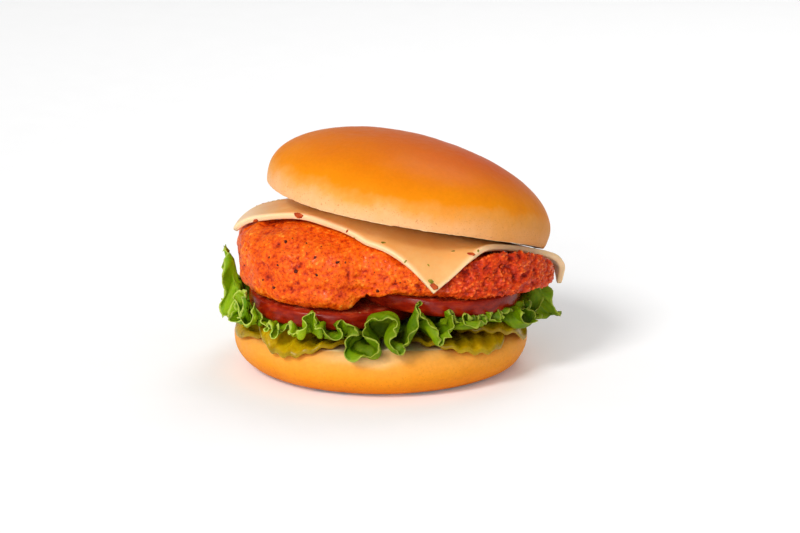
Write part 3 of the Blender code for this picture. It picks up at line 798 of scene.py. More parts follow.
def folds(count, seed):
    """(azimuth, height as a share of the usual) of each crest and trough of a frill, a turn and one more."""
    rng = np.random.default_rng(seed)
    widths = rng.uniform(*LEAF_FOLD_WIDTHS, 2 * count)
    stops = np.concatenate(([0.0], np.cumsum(widths))) * 2.0 * math.pi / widths.sum()
    heights = rng.uniform(*LEAF_FOLD_HEIGHTS, 2 * count)
    return stops, np.append(heights, heights[0])


def frill(azimuth, count=LEAF_FRILLS, seed=LEAF_FOLD_SEED):
    """(phase, swell) of a frill at each azimuth."""
    stops, heights = folds(count, seed)
    half_folds = np.interp(azimuth % (2.0 * math.pi), stops, np.arange(len(stops)))
    return math.pi * half_folds, np.interp(half_folds, np.arange(len(stops)), heights)


def leaf_azimuths(steps):
    """Azimuths with this many steps in each fold, whatever its width."""
    stops, _ = folds(LEAF_FRILLS, LEAF_FOLD_SEED)
    return np.interp(np.arange(LEAF_FRILLS * steps) * 2.0 / steps, np.arange(len(stops)), stops)


def leaf_rest(x, y):
    """The lowest place for the leaf: on the pickles and the heel, or hanging clear outside the rim."""
    past = np.maximum(np.hypot(x, y) - BUN_RADIUS - LEAF_OFF_BUN, 0.0)
    hanging = leaf_floor(x, y) + LEAF_GAPS * GAP - LEAF_FALL * past
    return np.maximum(hanging, LEAF_LOWEST) + LEAF_THICKNESS / 2


def leaf_point(azimuth, share):
    """A point of the leaf's middle surface, at an azimuth and a share of the way out to its margin.

    Seen from outside, the frill is a meander: the leaf swings up and down, and sideways twice as often.
    Where it swings down it also reaches further out.
    """
    reach, lift, taller = lobes(azimuth)
    phase, swell = frill(azimuth)
    outward = (LEAF_REACH + reach + LEAF_UNEVEN_REACH * uneven(azimuth, 33, 9, 17)) * share
    frilled = smoothstep(LEAF_FRILLS_FROM, 0.9 * LEAF_REACH, outward)
    curliness = LEAF_CURL_UNEVEN[0] + LEAF_CURL_UNEVEN[1] * uneven(azimuth, 17, 4, 12)
    curl = LEAF_FRILL_CURL * frilled * curliness * np.sin(2.0 * phase)
    turned = azimuth + curl / np.maximum(outward, LEAF_FRILLS_FROM)
    outward = outward - LEAF_FRILL_LEAN * frilled * swell * np.cos(phase)
    x, y = outward * np.cos(turned), outward * np.sin(turned)
    past = smoothstep(LEAF_HANGS_FROM, LEAF_REACH, outward)
    floor = leaf_rest(x, y)
    ceiling = leaf_ceiling(x, y) - GAP - LEAF_THICKNESS / 2
    room = np.maximum(ceiling - floor, 0.0)
    resting = floor + room * (LEAF_RESTS_LOW + LEAF_WAVES_UNDER * frilled * np.cos(phase))
    hanging = LEAF_FRILL_MIDDLE + lift + (LEAF_FRILL_HEIGHT + taller) * swell * np.cos(phase)
    height = resting + (hanging - resting) * past
    return x, y, np.clip(height, floor, np.maximum(ceiling, floor))


def ruffled(middle, azimuth, share):
    """The leaf's middle surface with finer and finer ruffles towards its margin, and teeth on it."""
    for count, height, since, seed in LEAF_RUFFLES:
        normal, _ = sheet_normals(middle)
        phase, swell = frill(azimuth + 0.5 * (1.0 - share), count, seed)
        middle = middle + normal * (height * smoothstep(since, 1.0, share) * swell * np.sin(phase))[..., None]
    _, outwards = sheet_normals(middle)
    for count, length, seed in LEAF_TEETH:
        phase, swell = frill(azimuth, count, seed)
        tooth = 1.0 - 2.0 * np.abs((phase / math.pi) % 2.0 - 1.0)
        grown = length * swell * tooth * smoothstep(LEAF_TEETH_FROM, 1.0, share) ** 2
        middle = middle + outwards * grown[..., None]
    return middle


def leaf_veins(azimuth, share):
    """0 on the leaf's veins and up to 1 on the blisters between them."""
    spot = np.stack((azimuth * LEAF_REACH * 1.2, share * LEAF_REACH * 0.7, np.zeros_like(azimuth)), axis=-1)
    near, second = cells(spot, LEAF_BLISTER_SIZE, 40)
    fine_near, fine_second = cells(spot, 0.45 * LEAF_BLISTER_SIZE, 44)
    return 0.7 * smoothstep(0.0, 0.45, second - near) + 0.3 * smoothstep(0.0, 0.5, fine_second - fine_near)


def lettuce():
    shares = np.concatenate((np.linspace(0.05, 0.55, 5), np.linspace(0.60, 0.80, 9), np.linspace(0.81, 1.0, 21)))
    share, azimuth = np.meshgrid(shares, leaf_azimuths(LEAF_STEPS), indexing="ij")
    middle = ruffled(np.stack(leaf_point(azimuth, share), axis=-1), azimuth, share)
    blister = leaf_veins(azimuth, share)
    half = np.full_like(share, LEAF_SHEET / 2) * (1.0 - 0.5 * smoothstep(0.90, 1.0, share))
    rings, ends = thickened(middle, half)
    piece = ring_body("lettuce", rings, ends)
    both = np.concatenate((blister, blister[::-1]))
    side = np.concatenate((-np.ones_like(blister), np.ones_like(blister)))
    out = np.concatenate((share, share[::-1]))
    raised = LEAF_BLISTER * (both - 0.5) * smoothstep(0.45, 0.70, out) * (1.0 - 0.5 * smoothstep(0.93, 1.0, out))
    push(piece, per_point(raised * side, (0.0, 0.0)))
    mark(piece, "out", per_point(out, (0.0, 0.0)))
    mark(piece, "blister", per_point(both, (0.5, 0.5)))
    shaded = smoothstep(*LEAF_SHADED, middle[..., 0])
    mark(piece, "shaded", per_point(np.concatenate((shaded, shaded[::-1])), (0.5, 0.5)))
    return piece


# Fillet


def theta_off(theta, place):
    return (theta - place + math.pi) % (2.0 * math.pi) - math.pi


def fillet_reach(theta):
    """Distance from the fillet's axis to its outline, at the fillet's widest level."""
    along, across = np.cos(theta), np.sin(theta)
    length = np.where(along < 0.0, FILLET_LEFT, FILLET_RIGHT)
    width = np.where(across < 0.0, FILLET_FRONT, FILLET_BACK)
    power = FILLET_SQUARENESS
    reach = (np.abs(along / length) ** power + np.abs(across / width) ** power) ** (-1.0 / power)
    for place, spread, depth in FILLET_HOLLOWS:
        reach = reach * (1.0 - depth * np.exp(-((theta_off(theta, math.radians(place)) / spread) ** 2)))
    return reach * (1.0 + FILLET_UNEVEN * uneven(theta, 41, 3, 9))


def fillet_profile(theta, share, upper):
    """(distance from the axis, height) of the fillet's top or underside, at a share of its reach."""
    reach = fillet_reach(theta) * share
    x = FILLET_CENTRE[0] + reach * np.cos(theta)
    y = FILLET_CENTRE[1] + reach * np.sin(theta)
    front_of_tail = smoothstep(*FILLET_TAIL_FROM, x) * (1.0 - smoothstep(*FILLET_TAIL_BEFORE, y))
    power = FILLET_TOP_FULLNESS + FILLET_TAIL_FULLNESS * front_of_tail
    power = power - FILLET_BACK_ROUNDING * smoothstep(*FILLET_BACK_FROM, y)
    power = power - FILLET_LEFT_ROUNDING * smoothstep(*FILLET_LEFT_FROM, x)
    power = power if upper else FILLET_UNDER_FULLNESS
    top, under = fillet_ceiling(x, y), fillet_floor(x, y) + FILLET_UNDER_LIFT
    belly = under + FILLET_BELLY * (top - under)
    bulge = (1.0 - share**power) ** (1.0 / power)
    return reach, belly + ((top if upper else under) - belly) * bulge


def creases(points):
    """(0 to 1 in the creases of the breading's front, how deep each point lies in them)."""
    inside, depth = np.zeros(len(points)), np.zeros(len(points))
    front = smoothstep(0.0, -0.010, points[:, 1] - 0.35 * np.abs(points[:, 0]) + 0.012)
    wander = 0.0012 * noise(points, 0.004, 68)
    for x0, z0, x1, z1, half_width, deep in FILLET_CREASES:
        along = np.array([x1 - x0, z1 - z0])
        off = np.column_stack((points[:, 0] - x0, points[:, 2] - z0 + wander))
        share = np.clip(off @ along / (along @ along), 0.0, 1.0)
        away = np.linalg.norm(off - share[:, None] * along, axis=1) / half_width
        amount = np.exp(-(away**2)) * front
        inside = np.maximum(inside, amount)
        depth = np.maximum(depth, deep * amount)
    return inside, depth


def fillet_rings():
    """Rings from under the fillet to its top, closest together on its sides, and the share of the reach at each."""
    theta = fillet_angles()
    steps = np.sin(np.linspace(0.02, math.pi / 2, 160))
    shares = np.concatenate((steps, steps[::-1][1:]))
    reach = np.empty((len(shares), len(theta)))
    height = np.empty_like(reach)
    for row, share in enumerate(shares):
        upper = row >= len(steps) - 1
        reach[row], height[row] = fillet_profile(theta, np.full_like(theta, share), upper)
    rings = np.empty((FILLET_RINGS, len(theta), 3))
    kept = np.empty((FILLET_RINGS, len(theta)))
    weight = 0.3 + 0.7 * smoothstep(0.60, 0.80, 0.5 * (shares[1:] + shares[:-1]))
    for column, angle in enumerate(theta):
        length = np.hypot(np.diff(reach[:, column]), np.diff(height[:, column])) * weight
        walked = np.concatenate(([0.0], np.cumsum(length)))
        stops = np.linspace(0.0, walked[-1], FILLET_RINGS)
        out = np.interp(stops, walked, reach[:, column])
        rings[:, column, 0] = FILLET_CENTRE[0] + out * math.cos(angle)
        rings[:, column, 1] = FILLET_CENTRE[1] + out * math.sin(angle)
        rings[:, column, 2] = np.interp(stops, walked, height[:, column])
        kept[:, column] = np.interp(stops, walked, shares)
    return rings, kept


def fillet():
    rings, shares = fillet_rings()
    piece = ring_body("breaded_fillet", rings, (rings[0].mean(axis=0), rings[-1].mean(axis=0)))
    share = per_point(shares, (0.0, 0.0))
    points = places(piece)
    x = points[:, 0] + 0.006 * noise(points, 0.012, 50)
    craggy = smoothstep(0.004, 0.030, x)
    pebble_near, _ = cells(points, FILLET_PEBBLE[1], 51)
    pebbles = 0.6 * (1.0 - pebble_near) + 0.4 * (0.5 + 0.5 * layered(points, 1.6 * FILLET_PEBBLE[1], 52, 2))
    crumbs_near, crumbs_second = cells(points, FILLET_CRUMB[1], 55)
    crumbs = smoothstep(0.0, 0.5, crumbs_second - crumbs_near) * (1.0 - 0.6 * crumbs_near)
    ridges = 1.0 - 2.2 * np.abs(layered(points, FILLET_CRAG[1], 60, 3))
    lumps = noise(points, FILLET_LUMP[1], 62) + 0.5 * noise(points, 0.5 * FILLET_LUMP[1], 63)
    grit = layered(points, FILLET_GRIT[1], 64, 2)
    pits = smoothstep(0.50, 0.72, noise(points, 0.0022, 66)) * (1.0 - craggy)
    creased, crease_depth = creases(points)
    smooth_part = FILLET_PEBBLE[0] * pebbles + FILLET_GRIT[0] * grit - 0.0004 * pits
    rough_part = FILLET_CRAG[0] * 0.5 * ridges + FILLET_CRUMB[0] * (crumbs - 0.4) + FILLET_GRIT[0] * grit
    relief = FILLET_LUMP[0] * lumps * (1.0 - 0.4 * craggy) + smooth_part * (1.0 - craggy) + rough_part * craggy
    side = smoothstep(0.74, 0.93, share)
    push(piece, np.minimum(relief, FILLET_MOST) * (0.25 + 0.75 * side) - 0.0002 * (1.0 - side) - crease_depth)
    # For the colour: lower in pits and creases, higher on bumps, so the breading is painted darker in its hollows and
    # creases, where shade falls, and lighter on its bumps as a painted highlight, over its own mottle.
    level = 0.52 + (0.55 * (pebbles - 0.42) + 0.14 * grit) * (1.0 - craggy)
    level = level + (0.26 * ridges + 0.34 * (crumbs - 0.45)) * craggy
    mark(piece, "raised", np.clip(level + 0.08 * lumps - 0.20 * pits - 0.15 * creased, 0.0, 1.0))
    mark(piece, "craggy", craggy)
    return piece


def seasoning(piece):
    """Pepper on the fillet and loose crumbs on its craggy part."""
    points, normals = places(piece), facing(piece)
    open_side = (normals[:, 2] > -0.3) & (points[:, 2] < 0.058)
    pepper = seen(piece, PEPPER_SEEN) + scattered(piece, open_side, *PEPPER_SCATTERED, 101)
    dress(chips("pepper", pepper, (0.6, 1.0), 0.30, 102), [], chip_finish(PEPPER))
    rough = open_side & (points[:, 0] > 0.012)
    crumbs = scattered(piece, rough, *CRUMBS_SCATTERED, 103)
    loose = chips("loose_crumbs", crumbs, (0.6, 1.0), 0.60, 104)
    dress(loose, [], chip_finish(LOOSE_CRUMB))


def peppers_in_cheese(piece):
    """Flecks of red and green pepper, just under the cheese's surface."""
    points, normals = places(piece), facing(piece)
    unseen = (points[:, 1] > 0.0) & (normals[:, 2] > 0.1)
    for name, marks, colours, seed in (
        ("red_flecks", RED_FLECKS_SEEN, RED_PEPPER, 111),
        ("green_flecks", GREEN_FLECKS_SEEN, GREEN_PEPPER, 121),
    ):
        spots = seen(piece, marks) + scattered(piece, unseen, *FLECKS_SCATTERED, seed)
        flecks = chips(name, spots, (0.35, 0.7), 0.10, seed + 1)
        dress(flecks, [], chip_finish(colours))
PEPPER = (shown(46, 10, 3), shown(96, 22, 4))
LOOSE_CRUMB = (shown(140, 30, 3), shown(210, 80, 16))
RED_PEPPER = (shown(146, 36, 8), shown(196, 88, 30))
GREEN_PEPPER = (shown(96, 96, 14), shown(150, 136, 34))


def chip_finish(colours):
    """Chips of two shades, mottled and a little rough."""
    material, tree, shader = new_material("chips")
    dark, light = colours
    share = between(tree, grain(tree, 0.0016, 3.0), 0.35, 0.65)
    put(tree, blended(tree, share, dark, light), shader.inputs["Base Color"])
    put(tree, between(tree, grain(tree, 0.0009), 0.3, 0.7, 0.35, 0.60), shader.inputs["Roughness"])
    put(tree, relief(tree, grain(tree, 0.0005, 2.0), 0.00006), shader.inputs["Normal"])
    shader.inputs["Specular IOR Level"].default_value = 0.2
    return material


# Cheese


def cheese_point(flat_x, flat_y):
    """Where a point of the flat slice lies when it is laid on the fillet.

    The slice is walked outwards from the fillet's axis over the fillet's side, keeping its length. Past the
    fillet's widest level it hangs straight down, and where it would reach the lettuce it turns outwards.
    """
    theta = math.atan2(flat_y, flat_x)
    distance = math.hypot(flat_x, flat_y)
    place, spread, further_down, further_off = CHEESE_FREE_END
    free = math.exp(-((theta_off(theta, place) / spread) ** 2))
    rests_at = CHEESE_RESTS_AT - further_down * free
    share = np.sin(np.linspace(0.0, math.pi / 2, 60)) ** 0.7
    out, height = fillet_profile(np.full_like(share, theta), share, True)
    slope_out, slope_up = np.gradient(out), np.gradient(height)
    length = np.hypot(slope_out, slope_up) + 1e-12
    away = CHEESE_THICKNESS / 2 + CHEESE_CLEAR + further_off * free * share**6
    out = np.maximum(out - slope_up / length * away, 0.0)
    height = height + slope_out / length * away
    bend = float(np.clip(height[-1] - rests_at, 0.0, CHEESE_BEND))
    turned = np.linspace(0.0, math.pi / 2 - CHEESE_FLARE, 5)
    out = np.concatenate((out, out[-1] + CHEESE_HANGS_OFF * (1.0 - free) + bend * (1.0 - np.cos(turned))))
    height = np.concatenate((height, rests_at + bend * (1.0 - np.sin(turned))))
    out = np.append(out, out[-1] + CHEESE_LENGTH * math.cos(CHEESE_FLARE))
    height = np.append(height, height[-1] - CHEESE_LENGTH * math.sin(CHEESE_FLARE))
    walked = np.concatenate(([0.0], np.cumsum(np.hypot(np.diff(out), np.diff(height)))))
    reach = float(np.interp(distance, walked, out))
    level = float(np.interp(distance, walked, height))
    return (
        FILLET_CENTRE[0] + reach * math.cos(theta),
        FILLET_CENTRE[1] + reach * math.sin(theta),
        level,
    )


def slice_point(u, v):
    """Where a place of the cheese slice lies. From its middle, u and v run along its sides on the flat."""
    along, across = CHEESE_TURN, CHEESE_TURN + math.pi / 2 - CHEESE_SLUMP
    flat_x = CHEESE_CENTRE[0] - FILLET_CENTRE[0] + u * math.cos(along) + v * math.cos(across)
    flat_y = CHEESE_CENTRE[1] - FILLET_CENTRE[1] + u * math.sin(along) + v * math.sin(across)
    return cheese_point(flat_x, flat_y)


def square_outline(steps):
    """Points round a square of half side 1, from its front left corner."""
    along = np.linspace(-1.0, 1.0, steps, endpoint=False)
    still = np.ones(steps)
    u = np.concatenate((along, still, -along, -still))
    v = np.concatenate((-still, along, still, -along))
    return u, v


def cheese():
    u, v = square_outline(CHEESE_STEPS_PER_SIDE)
    shares = np.concatenate((np.linspace(0.04, 0.94, 46), 1.0 - 0.045 * np.linspace(1.0, 0.0, 10) ** 1.6))
    half_length, half_width = CHEESE_LENGTH / 2 - 0.0002, CHEESE_WIDTH / 2 - 0.0002
    middle = np.array([
        [slice_point(a * share * half_length, b * share * half_width) for a, b in zip(u, v)] for share in shares
    ])
    middle[..., 2] += rising_to_crown(middle)
    from_edge = (1.0 - shares) * half_width
    rounded = np.clip(from_edge / 0.0010, 0.0, 1.0)
    half = (CHEESE_THICKNESS / 2 - 0.0001) * (0.45 + 0.55 * np.sqrt(1.0 - (1.0 - rounded) ** 2))
    rings, ends = thickened(middle, np.repeat(half[:, None], len(u), axis=1))
    piece = ring_body("cheese", rings, ends)
    points = places(piece)
    push(piece, 0.00010 * noise(points, 0.009, 90) + 0.00004 * layered(points, 0.0020, 91))
    both = np.concatenate((shares, shares[::-1]))
    mark(piece, "out", np.append(np.repeat(both, len(u)), (0.0, 0.0)))
    mark(piece, "paler", smoothstep(-0.034, -0.050, points[:, 0]))
    return piece


# Materials


def new_material(name):
    material = bpy.data.materials.new(name)
    material.use_nodes = True
    tree = material.node_tree
    return material, tree, tree.nodes["Principled BSDF"]


def put(tree, value, socket):
    """Links a socket, or sets a value or colour."""
    if isinstance(value, bpy.types.NodeSocket):
        tree.links.new(value, socket)
    elif isinstance(value, tuple) and len(value) == 3 and socket.type == "RGBA":
        socket.default_value = (*value, 1.0)
    else:
        socket.default_value = value


def add(tree, kind, inputs=None, **settings):
    made = tree.nodes.new("ShaderNode" + kind)
    for name, value in settings.items():
        setattr(made, name, value)
    for name, value in (inputs or {}).items():
        put(tree, value, made.inputs[name])
    return made


def where(tree):
    """The place on the piece in metres, which is the same at every pose."""
    found = tree.nodes.get("Texture Coordinate") or tree.nodes.new("ShaderNodeTexCoord")
    return found.outputs["Object"]


def stretched(tree, x, y, z):
    return add(tree, "VectorMath", {0: where(tree), 1: (x, y, z)}, operation="MULTIPLY").outputs["Vector"]


def grain(tree, size, detail=2.0, vector=None, distortion=0.0):
    """Noise from 0 to 1 with features of this size."""
    inputs = {
        "Vector": vector or where(tree),
        "Scale": 1.0 / size,
        "Detail": detail,
        "Distortion": distortion,
    }
    return add(tree, "TexNoise", inputs).outputs["Fac"]


def pores(tree, size, vector=None):
    """Distance from scattered points, for cells of this size."""
    return add(tree, "TexVoronoi", {"Vector": vector or where(tree), "Scale": 1.0 / size}).outputs["Distance"]


def stored(tree, name):
    return add(tree, "Attribute", attribute_name=name).outputs["Fac"]


def between(tree, value, low, high, to_low=0.0, to_high=1.0):
    """Value carried from one range to another and kept inside it."""
    inputs = {"Value": value, "From Min": low, "From Max": high, "To Min": to_low, "To Max": to_high}
    return add(tree, "MapRange", inputs).outputs["Result"]


def maths(tree, operation, first, second):
    return add(tree, "Math", {0: first, 1: second}, operation=operation).outputs["Value"]


def blended(tree, share, first, second, mode="MIX"):
    made = add(tree, "Mix", data_type="RGBA", blend_type=mode)
    put(tree, share, made.inputs[0])
    put(tree, first, made.inputs[6])
    put(tree, second, made.inputs[7])
    return made.outputs[2]


def graded(tree, value, *stops):
    """A colour for each value, from (value, colour) stops."""
    made = add(tree, "ValToRGB", {"Fac": value})
    ramp = made.color_ramp
    while len(ramp.elements) < len(stops):
        ramp.elements.new(0.5)
    for element, (place, colour) in zip(ramp.elements, stops):
        element.position = place
        element.color = (*colour, 1.0)
    return made.outputs["Color"]


def relief(tree, height, distance, normal=None):
    inputs = {"Height": height, "Distance": distance, "Strength": 1.0}
    if normal is not None:
        inputs["Normal"] = normal
    return add(tree, "Bump", inputs).outputs["Normal"]


def wet_look(shader, weight, roughness):
    shader.inputs["Coat Weight"].default_value = weight
    shader.inputs["Coat Roughness"].default_value = roughness


def see_into(shader, weight, scale, radius):
    """Light that enters the food and comes out near by."""
    shader.inputs["Subsurface Weight"].default_value = weight
    shader.inputs["Subsurface Scale"].default_value = scale
    shader.inputs["Subsurface Radius"].default_value = radius


CRUMB = shown(250, 222, 170)
CRUMB_SHADE = shown(236, 190, 120)


def crust(name, stops, tints, pale_to, roughness, mottled):
    """Baked bread: graded from its pale rim up, mottled, wrinkled and speckled, with crumb on its cut face."""
    material, tree, shader = new_material(name)
    level = stored(tree, "level")
    broad = between(tree, grain(tree, 0.011, 2.0), 0.3, 0.7, -0.05, 0.05)
    fine = between(tree, grain(tree, 0.0021, 3.0), 0.3, 0.7, -0.020, 0.020)
    baked = maths(tree, "ADD", maths(tree, "ADD", level, broad), fine)
    colour = graded(tree, baked, *stops)
    # Tints by stored attributes; some are painted light: painted shade on the crown's right rim, a painted highlight
    # on the heel's front shoulder.
    for attribute, tint in tints:
        patchy = between(tree, grain(tree, 0.017, 2.0), 0.25, 0.75, 0.75, 1.15)
        colour = blended(tree, maths(tree, "MULTIPLY", stored(tree, attribute), patchy), colour, tint)
    mottle = between(tree, grain(tree, 0.0013, 3.0), 0.35, 0.65, 1.0 - mottled, 1.0 + 0.5 * mottled)
    grey = add(tree, "CombineColor", {0: mottle, 1: mottle, 2: mottle}).outputs[0]
    colour = blended(tree, 1.0, colour, grey, "MULTIPLY")
    dots = between(tree, grain(tree, 0.00055, 1.0), 0.64, 0.72)
    pale = between(tree, level, pale_to, pale_to * 0.4)
    dotted = maths(tree, "MULTIPLY", dots, maths(tree, "MULTIPLY", pale, 0.45))
    colour = blended(tree, dotted, colour, shown(166, 92, 34))
    # Painted shade: the cut crumb is darker in its pores.
    holes = between(tree, pores(tree, 0.0016), 0.05, 0.35)
    crumb = blended(tree, holes, CRUMB_SHADE, CRUMB)
    put(tree, blended(tree, stored(tree, "cut"), colour, crumb), shader.inputs["Base Color"])
    shine = between(tree, level, 0.0, 0.6, 0.62, roughness)
    blotch = between(tree, grain(tree, 0.003), 0.3, 0.7, -0.04, 0.04)
    put(tree, maths(tree, "ADD", shine, blotch), shader.inputs["Roughness"])
    skin = relief(tree, grain(tree, 0.0010, 3.0, distortion=0.6), 0.00005)
    put(tree, relief(tree, grain(tree, 0.00035, 2.0), 0.00002, skin), shader.inputs["Normal"])
    shader.inputs["Specular IOR Level"].default_value = 0.06
    see_into(shader, 0.10, 0.002, (1.0, 0.45, 0.15))
    return material


def crown_crust():
    stops = (
        (0.00, shown(232, 177, 126)),
        (0.12, shown(231, 168, 109)),
        (0.24, shown(229, 151, 65)),
        (0.37, shown(227, 131, 6)),
        (0.62, shown(219, 117, 1)),
        (0.90, shown(210, 106, 1)),
    )
    # Painted shade: the tint on the right of the rim makes it less pale and more orange.
    # The upper right of the crown is tinted deeper orange.
    tints = [("browned", shown(210, 84, 1)), ("warm_rim", shown(214, 140, 62))]
    return crust("crown_crust", stops, tints, 0.34, 0.36, 0.03)


def heel_crust():
    stops = (
        # The base is darker: partly its browned bottom crust, partly painted contact shadow.
        (0.00, shown(120, 54, 8)),
        (0.05, shown(204, 110, 12)),
        (0.16, shown(222, 126, 10)),
        (0.45, shown(232, 146, 34)),
        (0.78, shown(234, 158, 64)),
        (0.93, shown(236, 168, 86)),
        (1.00, shown(240, 182, 108)),
    )
    # The pale tint on the front shoulder is a painted highlight.
    return crust("heel_crust", stops, [("floury", shown(246, 206, 146))], 0.9, 0.46, 0.05)


def rising_to_crown(middle):
    """How far the cheese's middle surface rises at its right end, to close the gap under the crown's rim."""
    normal, _ = sheet_normals(middle)
    x, y, z = np.moveaxis(middle, -1, 0)
    room = np.clip(crown_face(x, y) - z - CHEESE_THICKNESS / 2 - GAP, 0.0, 0.0006)
    return room * smoothstep(0.6, 0.95, np.abs(normal[..., 2])) * smoothstep(0.026, 0.040, x)


def cheese_finish():
    material, tree, shader = new_material("cheese_with_peppers")
    cloud = grain(tree, 0.012, 3.0)
    colour = graded(
        tree, cloud, (0.30, shown(222, 160, 90)), (0.55, shown(226, 170, 104)), (0.75, shown(232, 184, 124))
    )
    curd = between(tree, grain(tree, 0.0016, 3.0), 0.45, 0.68)
    colour = blended(tree, maths(tree, "MULTIPLY", curd, 0.25), colour, shown(226, 150, 76))
    colour = blended(tree, stored(tree, "paler"), colour, shown(236, 200, 160))
    # Painted highlight: the slice's cut edge is lighter all round.
    edge = between(tree, stored(tree, "out"), 0.955, 0.995)
    colour = blended(tree, maths(tree, "MULTIPLY", edge, 0.8), colour, shown(244, 208, 164))
    put(tree, colour, shader.inputs["Base Color"])
    put(tree, between(tree, grain(tree, 0.005, 2.0), 0.3, 0.7, 0.34, 0.46), shader.inputs["Roughness"])
    skin = relief(tree, grain(tree, 0.0022, 3.0), 0.00008)
    put(tree, relief(tree, grain(tree, 0.0005, 2.0), 0.00003, skin), shader.inputs["Normal"])
    shader.inputs["Specular IOR Level"].default_value = 0.22
    see_into(shader, 0.35, 0.004, (1.0, 0.55, 0.25))
    return material


def fillet_finish():
    material, tree, shader = new_material("hot_breading")
    craggy = stored(tree, "craggy")
    patches = between(tree, grain(tree, 0.0060, 3.0), 0.3, 0.7, -0.09, 0.09)
    spice = between(tree, grain(tree, 0.0010, 3.0), 0.3, 0.7, -0.20, 0.20)
    # The ramps run from painted shade in the hollows up to a painted highlight on the bumps.
    level = maths(tree, "ADD", maths(tree, "ADD", stored(tree, "raised"), patches), spice)
    mild = graded(
        tree,
        level,
        (0.06, shown(120, 20, 1)),
        (0.28, shown(192, 52, 1)),
        (0.50, shown(224, 82, 3)),
        (0.72, shown(234, 102, 8)),
        (0.95, shown(248, 150, 46)),
    )
    # Painted shade: the craggy right part is darker, partly its own redder breading and partly shade from the crown.
    hot = graded(
        tree,
        level,
        (0.06, shown(122, 16, 2)),
        (0.28, shown(168, 34, 2)),
        (0.52, shown(198, 52, 4)),
        (0.75, shown(216, 72, 9)),
        (0.95, shown(245, 118, 42)),
    )
    dots = between(tree, grain(tree, 0.0006, 1.0), 0.64, 0.70)
    colour = blended(tree, craggy, mild, hot)
    colour = blended(tree, maths(tree, "MULTIPLY", dots, 0.6), colour, shown(110, 16, 1))
    put(tree, colour, shader.inputs["Base Color"])
    oily = between(tree, grain(tree, 0.0040, 2.0), 0.35, 0.65, 0.36, 0.60)
    put(tree, oily, shader.inputs["Roughness"])
    skin = relief(tree, grain(tree, 0.0009, 3.0), 0.00036)
    put(tree, relief(tree, grain(tree, 0.00035, 2.0), 0.00010, skin), shader.inputs["Normal"])
    shader.inputs["Specular IOR Level"].default_value = 0.14
    wetter = between(tree, craggy, 0.0, 1.0, 0.16, 0.30)
    gloss = maths(tree, "MULTIPLY", between(tree, grain(tree, 0.0020, 2.0), 0.50, 0.60), wetter)
    put(tree, gloss, shader.inputs["Coat Weight"])
    shader.inputs["Coat Roughness"].default_value = 0.16
    see_into(shader, 0.08, 0.0015, (1.0, 0.30, 0.05))
    return material


def tomato_finish():
    material, tree, shader = new_material("ripe_tomato")
    out = stored(tree, "out")
    streaks = grain(tree, 0.004, 3.0, stretched(tree, 1.0, 1.0, 3.0))
    skin = graded(tree, streaks, (0.3, shown(116, 16, 3)), (0.55, shown(144, 28, 5)), (0.75, shown(174, 52, 10)))
    pulp = graded(
        tree,
        grain(tree, 0.0032, 3.0, distortion=0.8),
        (0.30, shown(150, 28, 10)),
        (0.52, shown(184, 56, 28)),
        (0.70, shown(214, 104, 66)),
    )
    seeds = between(tree, pores(tree, 0.0030), 0.16, 0.10)
    pulp = blended(tree, maths(tree, "MULTIPLY", seeds, 0.8), pulp, shown(232, 176, 112))
    flesh = between(tree, out, 0.985, 0.955)
    put(tree, blended(tree, flesh, skin, pulp), shader.inputs["Base Color"])
    put(tree, between(tree, grain(tree, 0.003), 0.3, 0.7, 0.18, 0.34), shader.inputs["Roughness"])
    lumpy = maths(tree, "MULTIPLY", grain(tree, 0.0014, 2.0), between(tree, flesh, 0.0, 1.0, 0.25, 1.0))
    put(tree, relief(tree, lumpy, 0.00016), shader.inputs["Normal"])
    shader.inputs["Specular IOR Level"].default_value = 0.22
    see_into(shader, 0.15, 0.002, (1.0, 0.2, 0.06))
    return material


def pickle_finish():
    material, tree, shader = new_material("crinkle_pickle")
    out = stored(tree, "out")
    cloud = grain(tree, 0.0050, 3.0)
    colour = graded(
        tree, cloud, (0.30, shown(150, 110, 2)), (0.52, shown(184, 144, 3)), (0.72, shown(204, 170, 10))
    )
    threads = between(tree, grain(tree, 0.0015, 2.0, stretched(tree, 1.0, 1.0, 0.4)), 0.55, 0.7)
    colour = blended(tree, maths(tree, "MULTIPLY", threads, 0.3), colour, shown(214, 180, 30))
    rind = between(tree, out, 0.965, 0.992)
    colour = blended(tree, maths(tree, "MULTIPLY", rind, 0.45), colour, shown(116, 104, 4))
    put(tree, colour, shader.inputs["Base Color"])
    put(tree, between(tree, grain(tree, 0.0025), 0.3, 0.7, 0.22, 0.38), shader.inputs["Roughness"])
    put(tree, relief(tree, grain(tree, 0.0012, 3.0), 0.00010), shader.inputs["Normal"])
    shader.inputs["Specular IOR Level"].default_value = 0.20
    see_into(shader, 0.40, 0.002, (1.0, 0.75, 0.08))
    return material


